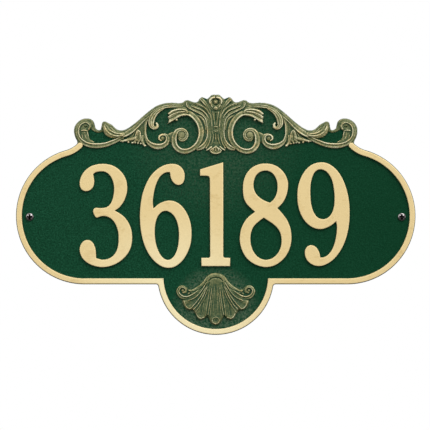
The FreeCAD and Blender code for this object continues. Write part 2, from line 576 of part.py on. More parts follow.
def screw(x):
    """Pan-head screw: domed head on the plate's front, plain neck, thread and point behind it."""
    seat = -PLATE_THICKNESS
    crown = seat - HEAD_HEIGHT
    head = HEAD_DIAMETER / 2
    neck = SHANK_DIAMETER / 2
    thread = THREAD_DIAMETER / 2
    tip = THREAD_LENGTH + POINT_LENGTH
    dome = [(head, seat), (head, seat - HEAD_WALL), (head * 0.75, crown + 0.45), (head * 0.4, crown)]
    body = turned(dome, HEAD_SIDES).multiFuse([
        turned([(neck, seat), (neck, 0)], HEAD_SIDES),
        Part.makeCylinder(thread, THREAD_LENGTH, point(0, 0), point(0, 0, 1)),
        turned([(thread, THREAD_LENGTH), (POINT_TIP / 2, tip)], HEAD_SIDES),
    ])
    for across, up in ((RECESS_SPAN, RECESS_WIDTH), (RECESS_WIDTH, RECESS_SPAN)):
        body = body.cut(recess_bar(across, up, crown))
    body.translate(point(x, 0))
    return body.Solids[0]


def recess_bar(across, up, crown):
    """One wing pair of the cross recess, tapering towards its floor."""
    wires = []
    for depth, share in ((-0.5, 1.0), (RECESS_DEPTH, 0.45)):
        a = across / 2 * (share if across > up else 1)
        b = up / 2 * (share if up > across else 1)
        y = crown + depth
        wires.append(Part.makePolygon([point(-a, -b, y), point(a, -b, y), point(a, b, y),
                                       point(-a, b, y), point(-a, -b, y)]))
    return Part.makeLoft(wires, True, True)


os.makedirs("parts", exist_ok=True)
cast_plaque().exportStep("parts/cast_plaque.step")
screw(-SCREW_X).exportStep("parts/left_screw.step")
screw(SCREW_X).exportStep("parts/right_screw.step")
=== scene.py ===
import math

import bpy
import numpy as np
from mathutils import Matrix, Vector
from mathutils.geometry import tessellate_polygon


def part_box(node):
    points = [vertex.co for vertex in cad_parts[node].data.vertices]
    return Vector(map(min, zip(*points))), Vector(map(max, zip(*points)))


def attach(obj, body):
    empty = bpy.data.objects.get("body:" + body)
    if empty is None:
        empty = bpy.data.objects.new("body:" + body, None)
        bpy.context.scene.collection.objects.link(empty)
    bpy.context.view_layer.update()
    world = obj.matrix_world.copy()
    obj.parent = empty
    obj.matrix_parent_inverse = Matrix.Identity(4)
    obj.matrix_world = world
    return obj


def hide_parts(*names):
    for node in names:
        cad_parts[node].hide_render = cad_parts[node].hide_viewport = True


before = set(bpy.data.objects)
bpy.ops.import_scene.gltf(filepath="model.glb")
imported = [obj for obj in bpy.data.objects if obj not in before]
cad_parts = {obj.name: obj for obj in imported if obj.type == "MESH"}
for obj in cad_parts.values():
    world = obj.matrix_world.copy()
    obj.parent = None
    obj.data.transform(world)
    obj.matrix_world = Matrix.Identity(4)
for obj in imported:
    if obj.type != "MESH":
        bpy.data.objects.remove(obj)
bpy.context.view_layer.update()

# A cast house number plaque in green enamel: gold numerals and rim, and a crest and a scallop
# whose high parts are rubbed with gold. Lengths are millimetres in the plaque's own frame, the
# back in y = 0, the front towards -Y, and become metres when a mesh is made.

MM = 0.001
plaque_low, plaque_high = (np.array(corner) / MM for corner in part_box("cast_plaque"))

# The plate, from the frame's box and a few sizes
HALF_LENGTH = plaque_high[0]
LOBE_LOW = plaque_low[2]
BODY_TOP = 75.7            # the crest's foot line
BODY_FOOT = -73.7          # the straight lower edge
PLATE = 5.0                # thickness
LOBE_RADIUS = 63.6
LOBE_FILLET = 3.0
FLARE_RADIUS = 30.0        # hollow shoulder between a round end and the crest
CREST_OVERHANG = 7.1       # how far the crest's corner stands outside a round end's centre
END_RADIUS = (BODY_TOP - BODY_FOOT) / 2
END_X = HALF_LENGTH - END_RADIUS
BODY_MIDDLE = (BODY_TOP + BODY_FOOT) / 2
LOBE_Z = LOBE_LOW + LOBE_RADIUS
CORNER_X = END_X + CREST_OVERHANG
DRAWN_CORNER_X = 151.0

# The rim and the numerals
RIM_WIDTH = 6.3
RIM_SETBACK = 0.3
NUMERALS = "36189"
NUMERAL_GAPS = [8.2, 8.8, 10.2, 6.0]
NUMERAL_MIDDLE = -1.2
NUMERAL_BASE = -55.0

# Edge sections as pairs of inset and depth in front of the back, and how much gold each line has
PLATE_EDGE = [(0.4, 0.0), (0.1, 0.12), (0.0, 0.4), (0.0, 4.35), (0.1, 4.75), (0.3, 4.93), (0.65, 5.0)]
RAISED_EDGE = [(-0.45, 4.9), (-0.2, 5.02), (-0.02, 5.3), (0.22, 7.2), (0.3, 7.62), (0.46, 7.88),
               (0.75, 8.0), (1.7, 8.0)]
RAISED_GOLD = [0.0, 0.0, 0.02, 0.22, 0.8, 1.0, 1.0, 1.0]
# How much painted highlight of lighter gold each line of the raised edge has
RAISED_EDGE_HIGHLIGHT = [0.0, 0.0, 0.0, 0.0, 0.0, 0.35, 1.0, 0.0]

# The relief: a stroke stands higher where it is broader
RELIEF_STEP = 0.3          # grid of the relief's surface
RELIEF_SUNK = -0.5         # where the surface runs on under the plate's front
RELIEF_LOW = 1.7
RELIEF_HIGH = 4.6
RELIEF_FULL_WIDTH = 3.0
RELIEF_BLEND = 0.35        # how softly two strokes run into each other
WEB_HEIGHT = 1.3           # metal left between strokes that stand close together
WEB_REACH = 1.4            # how close that is
HOLLOW_RIM = 0.72          # place of a hollow stroke's rims, as a share of the half width
HOLLOW_DEPTH = 0.34
INNER_RIM = 0.15           # how much higher the rim on the inner side of a bend stands
OUTER_RIM = -0.26
VEIN_PERIOD = 0.84         # spacing of a leaf's veins, as a share of the half width
VEIN_HEIGHT = 0.20
END_SHARE = 0.4            # how far a stroke's rounded end reaches, as a share of the half width
EDGE_REACH = 1.3           # width of the relief's rounding at the plate's edge
CREST_BAND = (-9.0, 59.5)  # reach of the crest's grid over its foot line
SHELL_WIDTH = 86.8
SHELL_LOW = LOBE_LOW + RIM_SETBACK + RIM_WIDTH + 4.6
SHELL_BAND = (-4.0, 59.0)

# The screws, whose places and lengths come from the frame's boxes, and their holes
HEAD_RADIUS = 4.2
HEAD_HEIGHT = 2.7
CROWN_RADIUS = 3.75        # where the domed crown turns into the head's rounded edge
CROWN_SWELL = 1.05
EDGE_DEPTH = 0.55
RECESS_SPAN = 2.6          # half length of the cross's bars
RECESS_HALF = 0.9          # half width of the cross's bars
RECESS_DEPTH = 1.8
CORE_RADIUS = 1.75
THREAD_DEPTH = 0.35
THREAD_PITCH = 1.6
POINT_LENGTH = 5.0
POINT_RADIUS = 1.716
HOLE_RADIUS = 2.4
TURN_STEPS = 96            # points round a screw

# Colours, as linear red, green and blue
ENAMEL = (0.0030, 0.047, 0.0195)
ENAMEL_DARK = (0.0010, 0.026, 0.0100)
ENAMEL_LIGHT = (0.0100, 0.077, 0.0370)
ENAMEL_CLOUD = (0.0050, 0.054, 0.024)
GOLD = (0.76, 0.59, 0.29)
GOLD_LIGHT = (0.82, 0.66, 0.36)
GOLD_SMUDGE = (0.66, 0.49, 0.22)
# Paler gold, painted on as a sheen of light round one place of the front
GOLD_SHEEN = (0.87, 0.76, 0.46)
SHEEN_PLACE = (-45, -125)   # middle of a painted sheen that makes the gold paler, fading out over a hand's width
DUST = (0.095, 0.140, 0.085)  # specks of gold on the enamel, from the brush
DUST_UNDER_CREST = 0.35    # its share there, as against round the scallop
# Darker green, painted on as shade towards the plaque's right end
ENAMEL_SHADED = (0.0006, 0.034, 0.0115)
SHADE_PLACE = (190, 0)      # middle of the painted shade that darkens the enamel towards the right end

# How much gold the brush leaves on the carving
CREST_WASH = 0.40
SHELL_WASH = 0.185
HEIGHT_GOLD = 0.10
FORM_GOLD, FORM_BLUR = 0.34, 1.3
LINE_GOLD, LINE_BLUR = 0.58, 0.5
EDGE_GOLD = 0.62           # share of the gold left at the plate's very edge, which is darker there

# The gold rubbed over the carving: from bare enamel through an olive wash to bright edges
RUB_STOPS = [(0.0, (0.004, 0.045, 0.019)), (0.12, (0.034, 0.070, 0.030)), (0.28, (0.092, 0.120, 0.048)),
             (0.46, (0.170, 0.184, 0.082)), (0.64, (0.285, 0.280, 0.136)), (0.82, (0.46, 0.43, 0.245)),
             (1.0, (0.74, 0.69, 0.455))]

# The screws' finish, from the painted shade of the recess to the scuffed edges
SCREW_STOPS = [(0.0, (0.004, 0.003, 0.003)), (0.2, (0.02, 0.016, 0.016)), (0.45, (0.21, 0.195, 0.195)),
               (0.8, (0.38, 0.36, 0.355))]

# The light and the camera
KEY_PLACE, KEY_SIZE, KEY_POWER = (1.8, -3.06, 3.06), 2.4, 110
FILL_PLACE, FILL_SIZE, FILL_POWER = (-1.1, -1.6, 0.65), 1.2, 9.2
WORLD_LEAN = (0.40, 0.0, 0.92)
WORLD_DARK = -0.75         # where along that direction the sky turns black
WORLD_HIGH = 1.45          # its brightness at the far end
STAGE_COLOURS = {"floor": (0.07, 0.07, 0.07), "backdrop": (0.8, 0.8, 0.8)}
CAMERA_DISTANCE = 3000.0
FRAME_WIDTH = 470.9        # what the photograph's frame takes in at the plaque's front
FRAME_MIDDLE = (-0.8, 2.1)
CREST_REACH = 156.5        # half of the crest's drawn width, with a little to spare

# Kinds of stroke
HOLLOW = "hollow"
RIDGE = "ridge"
LEAF = "leaf"

# Outlines of the numerals, drawn 114 high from each one's left edge and foot line. An outline is a
# list of smooth runs, each up to the corner that starts the next one, or one smooth ring.
GLYPHS = {
    "3": [
        [
            [(39, 61.8), (43.9, 65.4), (48.7, 72), (51.9, 81), (52.4, 89), (50.4, 97.5), (45.4, 105),
             (38.2, 110.5), (30.7, 112.8), (24.2, 113.2), (16.2, 112), (8.7, 108.2), (3.2, 102.2),
             (0.3, 95), (0.3, 88.8), (2.7, 84.5), (7.2, 82.9), (11.9, 84.2), (15.2, 88), (16.3, 93.5),
             (15.9, 98)],
            [(15.2, 101.8), (18.9, 104), (24.2, 104.6), (29.2, 103.5), (33.7, 99.5), (36.7, 93),
             (37.7, 86), (36.9, 78), (34.4, 70.5), (30.7, 66.5), (25.7, 64.9)],
            [(17.4, 65.2), (15.3, 63.6), (14.7, 60.6), (16, 57), (18, 54.3), (19.9, 54), (23.2, 55.4),
             (28.9, 55.5), (34.7, 52.7), (39.2, 47), (41.9, 39.5), (42.6, 31), (41.7, 22), (39, 15.5),
             (34.7, 11), (29.7, 8.8), (24.7, 8.4)],
            [(18.4, 10), (18.2, 15.5), (17.3, 21.5), (15.2, 26.2), (12.2, 29), (8.5, 29.9),
             (4.5, 28.6), (1.4, 25), (0, 20), (0.8, 14.5), (3.7, 9), (9.2, 4.2), (16.7, 1),
             (24.7, -0.2), (33.7, 1), (42.7, 5), (50.7, 11.8), (56, 20.5), (57.8, 31), (57.1, 40),
             (54.2, 48), (49.9, 54.2), (44.7, 58.6)],
        ],
    ],
    "6": [
        [
            [(32.8, 103.6), (33.5, 98.5), (35.2, 94.5), (38.4, 91), (42.4, 89.6), (46.2, 91),
             (48.5, 94.5), (49.3, 99.5), (48.6, 104.5), (45.9, 109), (41.4, 112.2), (34.9, 113.3),
             (27.4, 112), (19.9, 108), (12.9, 101.5), (7.1, 92), (2.6, 79.5), (0.3, 65), (0, 51),
             (1.4, 37.5), (4.9, 24), (10.4, 13), (17.9, 4.5), (25.4, 0), (31.4, -1), (37.4, 0),
             (44.9, 5), (51.4, 14), (55.6, 25), (56.8, 37), (55.9, 47), (53.1, 56), (48.4, 64.3),
             (41.9, 70.3), (34.4, 73), (28.4, 72.6), (21.4, 69.8)],
            [(15, 64.7), (14.4, 71), (15.2, 79), (16.6, 86), (19, 93), (22.4, 99), (26.4, 102.5),
             (29.6, 103.6)],
        ],
        [(28.9, 61.3), (33.9, 59.2), (38.4, 54.2), (41.5, 46), (42.6, 35), (41.6, 23.5), (38.9, 15),
         (34.9, 9.7), (30.9, 8.1), (26.2, 9.8), (21.4, 16), (17.9, 25.5), (16.5, 37), (17.1, 47),
         (19.6, 55), (23.9, 60)],
    ],
    "1": [
        [
            [(0.2, 107.2)],
            [(25.8, 115)],
            [(25.9, 12.8), (26.4, 11)],
            [(28.2, 10.4)],
            [(33.4, 10.4)],
            [(33.4, 0.9)],
            [(1.6, 0.9)],
            [(1.6, 10.4)],
            [(9, 10.4), (10.7, 11)],
            [(11.2, 12.8)],
            [(10.8, 96), (10, 98.8)],
            [(7.1, 99.8)],
            [(0, 99.8)],
        ],
    ],
    "8": [
        [
            [(16.4, 60.5), (11.8, 64.7), (7.1, 69.8), (4.4, 76), (3.4, 85), (4.1, 94), (7, 101.8),
             (12.3, 108.2), (19.3, 112.2), (27.8, 113.6), (36.3, 112.5), (44.1, 108.3), (50.1, 101.3),
             (53, 93.5), (53, 86), (51, 77.5), (47, 70)],
            [(41.7, 64.5), (46.3, 59.5), (51.3, 53), (55.1, 44.7), (56.9, 35), (56.1, 24.5),
             (52.6, 15), (47, 7.7), (39.6, 2.4), (31.8, 0), (23.8, 0.4), (15.3, 3.6), (7.8, 9.5),
             (2.6, 18), (0.1, 28), (0.6, 38), (3.3, 46.5), (8.3, 53.9)],
        ],
        [
            [(33.2, 70.7), (36.4, 73.5), (39.6, 78.8), (41.2, 85.5), (40.7, 93.5), (38.1, 99.8),
             (33.8, 104), (28.3, 105.4), (22.6, 104), (18.1, 100), (15.7, 93.5), (15.6, 87),
             (17.8, 81), (21.8, 76.5), (27.3, 73)],
        ],
        [
            [(26.4, 53.8), (32.3, 50), (38.8, 45.2), (43.6, 39), (45.6, 31), (44.8, 22), (41.1, 14.7),
             (35.3, 9.8), (28.6, 8.2), (21.8, 10.2), (16.3, 15.5), (13, 23), (12, 31.5), (13.1, 39),
             (15.8, 44.7), (20.8, 49.6)],
        ],
    ],
    "9": [
        [
            [(42.6, 49.8), (38.1, 46.1), (32.4, 43), (25.4, 41.4), (18.1, 42.8), (10.4, 48), (4.7, 56),
             (1.1, 66.5), (0, 78), (1, 89), (4.2, 98.5), (9.2, 106.5), (16.4, 112.5), (25.4, 114.9),
             (33.4, 113.7), (41.4, 108.5), (48.4, 99.5), (53.7, 87), (56.8, 73), (57.6, 59),
             (56.7, 45), (53.7, 31.5), (48.2, 19), (40.6, 9), (32.4, 3.2), (24.4, 0.9), (16.6, 2.6),
             (10.9, 7.3), (8.3, 13.7), (8.8, 19.5), (11.5, 23.1), (15.5, 24.3), (19.9, 22.7),
             (23.2, 18.7), (24.9, 14.5)],
            [(25.4, 10.8), (28.9, 11), (32.4, 12.7), (36.9, 17.5), (40.7, 26), (42.7, 35.5),
             (43.3, 44)],
        ],
        [(25.9, 106.8), (20.6, 105), (16.8, 98.5), (14.9, 89.5), (14.7, 79), (15.7, 68.5), (18.4, 60),
         (22.4, 54.7), (27.9, 52.7), (33.4, 54.2), (37.6, 59), (40, 66), (40.7, 76), (39.7, 87.5),
         (36.9, 97.5), (31.9, 104.3)],
    ],
}

# Upper edge of the plate from the crest's left corner to the middle: x, rise over the foot line
CREST_EDGE = [
    (-151, 5), (-151.5, 7.8), (-153.3, 11.3), (-154.7, 16.8), (-154.3, 22.3), (-151.8, 26.8),
    (-147.5, 30.2), (-142, 31.7), (-137, 30.9), (-134, 28.3), (-132.8, 24.3), (-132, 21.3),
    (-130, 19.5), (-127.5, 18.9), (-125.8, 19.7), (-124.9, 22.3), (-124.4, 25.3), (-123.5, 27.7),
    (-121.5, 28.4), (-118, 26.9), (-114, 24.7), (-111, 21.8), (-108, 19.6), (-104, 18.6), (-100, 19.2),
    (-95, 21.7), (-90, 25.3), (-85, 29.3), (-80, 33.8), (-75, 38.1), (-70, 42), (-65, 45.2),
    (-60, 47.2), (-54, 48.6), (-47, 48.9), (-40, 48.5), (-36, 49.2), (-33.5, 51.1), (-30.5, 51.7),
    (-27.5, 50.6), (-24, 49.5), (-21, 49.5), (-18.7, 51.3), (-17, 53.7), (-14.5, 55.1), (-11.5, 54.3),
    (-9, 53.3), (-7, 54.7), (-4.5, 57.1), (-1.5, 57.8), (0, 57.5),
]

# Strokes of the crest's left half and middle: name, kind, lift, and points of x, rise and half width
CREST_STROKES = [
    ("end scroll", HOLLOW, 0, [
        (-138.8, 20.3, 1), (-137.2, 23.8, 1.3), (-138.6, 26.9, 1.5), (-142.3, 28.6, 1.6),
        (-146.9, 27.3, 1.9), (-150.2, 23.8, 2.1), (-151.5, 18.3, 2.2), (-150.6, 12.8, 2.2),
        (-147.6, 8.1, 2.3), (-142.6, 4.5, 2.6), (-136, 2.5, 2.8), (-128.5, 2.2, 2.8), (-121, 3.2, 2.6),
        (-113.5, 5.8, 2.4), (-106, 9.2, 2.1), (-101, 11.8, 1.7)]),
    ("end leaf", RIDGE, -2.6, [
        (-143.8, 20.6, 3.4), (-144, 15.3, 4.6), (-142.8, 10.3, 4.2), (-139.5, 6.6, 3.3),
        (-134, 4.5, 2.2)]),
    ("side leaf", RIDGE, -0.4, [
        (-122.3, 26.3, 0.6), (-121.3, 21.5, 2.4), (-117.5, 16.7, 4.2), (-112, 14.5, 4.3),
        (-106.5, 13.7, 3.4), (-100, 14.7, 2.7)]),
    ("side leaf lobe", RIDGE, 0, [
        (-107.5, 15.5, 1.4), (-111.5, 18.5, 1.4), (-115.2, 22.6, 0.7)]),
    ("side leaf heel", RIDGE, 0, [
        (-103.5, 15.9, 1.2), (-107, 17.3, 1.1), (-109.6, 19.1, 0.6)]),
    ("long stem", HOLLOW, 0, [
        (-105, 12.1, 1), (-99, 14.5, 2.6), (-93, 18.1, 2.9), (-87.5, 22.5, 2.3), (-81.5, 28.1, 1.7),
        (-75.5, 33.6, 1.6), (-69, 38.7, 1.8), (-62, 42.7, 2), (-54.5, 45.1, 1.8), (-46, 45.7, 1.6),
        (-38, 44.7, 1.2), (-32, 42.9, 0.8)]),
    ("hook leaf", LEAF, 0.5, [
        (-57.5, 43.5, 1.6), (-64, 39.8, 2.6), (-68.7, 34.3, 3.4), (-70.6, 28.3, 3.4),
        (-69.9, 23.6, 2.6), (-67.2, 21.6, 1.8), (-64.4, 22.6, 1.6), (-63.9, 25.3, 1.3),
        (-65.2, 27.2, 0.9)]),
    ("small scroll", HOLLOW, 0, [
        (-73.4, 33.9, 1), (-76.8, 27.3, 1.5), (-77.6, 19.3, 1.5), (-77, 12.8, 1.5), (-75, 7.3, 1.9),
        (-70.5, 3.3, 2.6), (-64.5, 1.3, 3.2), (-58.8, 1.9, 2.9), (-54.3, 4.7, 2.5), (-52.4, 9.1, 2.2),
        (-53.9, 13.4, 1.6), (-58.2, 14.4, 1.1), (-61.6, 12.5, 1.1), (-61.9, 9.3, 0.9),
        (-59.6, 7.7, 0.7)]),
    ("main scroll", HOLLOW, 0, [
        (-37, 37.7, 2.4), (-33, 38.3, 2.7), (-28, 37.1, 3), (-22.3, 32.7, 3), (-17.8, 25.8, 3.1),
        (-15.8, 17.3, 3.1), (-17.2, 8.8, 3), (-21.6, 2.1, 2.8), (-27.5, -2.3, 2.7), (-34, -4, 2.9),
        (-40.2, -2.3, 2.9), (-44.4, 2.3, 3), (-45.8, 8.3, 3.1), (-44.8, 14.3, 2.7),
        (-42, 18.6, 2.1), (-38, 20.1, 1.7), (-33.9, 18.9, 1.6), (-31.6, 15.5, 1.6),
        (-31.9, 11.6, 1.6), (-34.5, 8.9, 1.6), (-38, 8.6, 1.6), (-40.3, 10.4, 1.3)]),
    ("rib leaf", RIDGE, -0.5, [
        (-21.5, 35.5, 0.9), (-17, 33.9, 1.3), (-13.4, 30.5, 1.5), (-11.4, 25.3, 1.4), (-10.6, 19.3, 1)]),
    ("outer rib", HOLLOW, 0, [
        (-31.3, 49.1, 1.6), (-30.4, 45.6, 1.5), (-26, 42.6, 1.5), (-20, 39.8, 1.6), (-14, 36.3, 1.6),
        (-10.2, 31.8, 1.6), (-8.6, 25.3, 1.7), (-8, 17.3, 1.7), (-8.7, 10.3, 1.8), (-11.2, 4.7, 2.2),
        (-15.4, 0.4, 2.6), (-20.5, -1.7, 1.5)]),
    ("upper leaf", RIDGE, -0.9, [
        (-23.8, 47.6, 0.7), (-19, 44.9, 1.3), (-14, 41.3, 1.4), (-9.8, 36.3, 1.3), (-6.8, 29.3, 1.1),
        (-6, 21.3, 0.9)]),
    ("bud leaf", HOLLOW, -0.4, [
        (-16.2, 53.3, 1.6), (-12.8, 50.1, 2), (-9.3, 45.1, 1.9), (-6.2, 38.8, 1.4), (-4.4, 31.3, 1.1),
        (-3.8, 23.3, 0.9)]),
    ("petal", RIDGE, 1.0, [
        (-0.9, 55.2, 1.1), (-4.2, 54.3, 1.4), (-6.3, 51.6, 1.4), (-6.2, 48.3, 1)]),
    ("inner curl", RIDGE, 0.3, [
        (-4.6, 50.7, 0.7), (-5, 47.1, 0.9), (-3.4, 44.1, 0.9)]),
    ("lower vein", RIDGE, -0.4, [
        (-5.6, 17.3, 0.9), (-6.2, 10.3, 1.1), (-7.8, 4.3, 1.2), (-10.6, -0.5, 1)]),
    ("foot leaf", RIDGE, 0.2, [
        (-4.5, 1.1, 1.2), (-7.5, -1.3, 1.1), (-10.2, -2.9, 0.5)]),
    ("under leaf 1", RIDGE, 0, [
        (-82, 12.8, 2), (-89, 10.3, 2.2), (-96, 8.4, 1.6), (-104.5, 7.3, 0.8)]),
    ("under leaf 2", RIDGE, 0, [
        (-82.5, 11.8, 2), (-87, 8.5, 1.9), (-90.4, 5.4, 0.9)]),
    ("under leaf 3", RIDGE, 0, [
        (-81.5, 11.3, 1.8), (-84, 7.8, 1.7), (-85.3, 4.9, 0.8)]),
    ("under leaf 4", RIDGE, 0, [
        (-80, 13.3, 1.4), (-80.3, 6.8, 1.9), (-77.4, 1.7, 0.9)]),
    ("under leaf 5", RIDGE, 0, [
        (-84, 10.8, 1.8), (-85.6, 15.8, 2.3), (-85.2, 19.9, 1)]),
]

# Round knobs of the crest's left half and middle: x, rise, radius and height
CREST_BOSSES = [(-37.6, 14.0, 5.4, 3.3), (-58.2, 10.6, 2.8, 2.3), (-141.7, 22.6, 1.3, 2.4),
                (-42.9, 30.6, 1.3, 5.2), (0, 50.1, 2.2, 3.4), (0, 43.1, 2.6, 3.8),
                (-101.8, 6.9, 1.2, 3), (-95.6, 6.3, 1.3, 3), (-91.2, 5.5, 1.3, 3.2),
                (-88, 5.6, 1.2, 3.2), (-85.2, 5.2, 1.3, 3.2), (-82, 4.6, 1.2, 3.2),
                (-77.4, 2.3, 1.4, 3.4)]

# Masses of the crest, as outlines: name, height, width of the rounded edge, and the outline's smooth
# runs. One that starts on the middle line is only its left half.
CREST_MASSES = [
    ("main leaf", 4.3, 1.7, [
        [(-51.9, 26.4), (-47.6, 28.7), (-43.4, 31.2), (-38.4, 34), (-31, 35.4)],
        [(-29.5, 39), (-32, 42.2), (-37.5, 43.6), (-43.5, 42.9), (-48.6, 40.9)],
        [(-52.4, 37.5)],
        [(-51.1, 35.4)],
        [(-52.3, 33.8), (-51.6, 30.5)]]),
    ("side leaf web", 2.3, 1.0, [
        [(-122.6, 26.6)],
        [(-118.5, 24.6), (-114.8, 22), (-110.6, 18.2), (-105, 15.8)],
        [(-104, 12), (-109.5, 9.9), (-116, 11.9), (-120.6, 15.9), (-122.6, 21.5)]]),
    ("junction", 1.6, 0.8, [
        [(-103, 7.6), (-98, 9.5), (-92, 14.5), (-87, 20), (-81, 26.5), (-75.5, 31)],
        [(-76.5, 20), (-77, 10), (-78.5, 3)],
        [(-82, 5), (-88, 5.4), (-95, 6.4)]]),
    ("arched leaf", 2.9, 1.2, [
        [(-88.6, 7), (-88.8, 13), (-87.2, 17.8), (-84.8, 19.8), (-82.4, 18), (-81.2, 13), (-80.8, 7)]]),
    ("stem's outer edge", 1.7, 1.2, [
        [(-112, 16), (-108, 24), (-98, 26), (-90, 31), (-82, 38), (-72, 47), (-60, 53), (-47, 54.5),
         (-36, 54.5), (-27, 56)],
        [(-28, 44), (-40, 43), (-54, 43), (-66, 39), (-75, 32), (-86, 22), (-96, 14)]]),
    ("end scroll's outer edge", 1.7, 1.2, [
        [(-149, 3), (-156, 8), (-159, 18), (-156, 28), (-148, 34), (-139, 34.5), (-134.5, 31),
         (-134.2, 24)],
        [(-139, 19), (-147, 17), (-147, 9)]]),
    ("side leaf's outer edge", 1.7, 1.0, [
        [(-125.4, 22), (-125.6, 29), (-121, 31), (-113, 26), (-104, 21)],
        [(-106, 14), (-114, 14), (-121, 19)]]),
    ("joint", 1.6, 0.8, [
        [(-53.5, 14), (-50.4, 16), (-46, 17), (-45, 10), (-46, 4), (-50, 6.4), (-53, 7)]]),
    ("notch", 1.1, 0.6, [
        [(-136, 20), (-132.6, 27), (-131, 22.6), (-128, 20.4), (-125.6, 21), (-123, 25)],
        [(-124, 17.6), (-128, 16.6), (-132, 17.6)]]),
    ("flower", 1.9, 1.0, [
        [(0, 60), (-5, 60), (-9, 55), (-9.5, 50), (-8, 45), (-5, 41.5), (0, 40)]]),
    ("crescent", 0.8, 0.5, [
        [(-30, 43), (-24, 41), (-16, 37.5), (-10, 31), (-8.5, 22), (-9, 10), (-14, 2)],
        [(-18, 1), (-14.5, 8), (-13, 18), (-15, 27), (-20, 34.5), (-27, 38.5), (-32, 39)]]),
    ("bunch", 1.8, 1.0, [
        [(-29, 49.5), (-22, 51.5), (-17.5, 54)],
        [(-14.5, 56), (-11, 48), (-8, 43), (-5.5, 36), (-4.5, 28), (-4.5, 18), (-6, 8), (-9, 1)],
        [(-12.5, 3.5), (-9.8, 12), (-9.3, 20), (-10.2, 27), (-13.5, 33.5), (-19.5, 38), (-26, 41),
         (-30.5, 43.6)]]),
    ("sheaf", 1.5, 1.4, [
        [(0, 47), (-3.4, 46), (-4.4, 41), (-5, 33.3), (-5.1, 26), (-5.6, 18), (-6.8, 9), (-8.6, 2),
         (-7, -0.5), (0, -1)]]),
    ("foot boss", 3.2, 1.5, [
        [(0, 2.1)],
        [(-2.4, 0.6), (-5.6, -1.4), (-6.9, -3.3), (-5, -5.6), (-2.2, -6.9), (0, -7.3)]]),
]

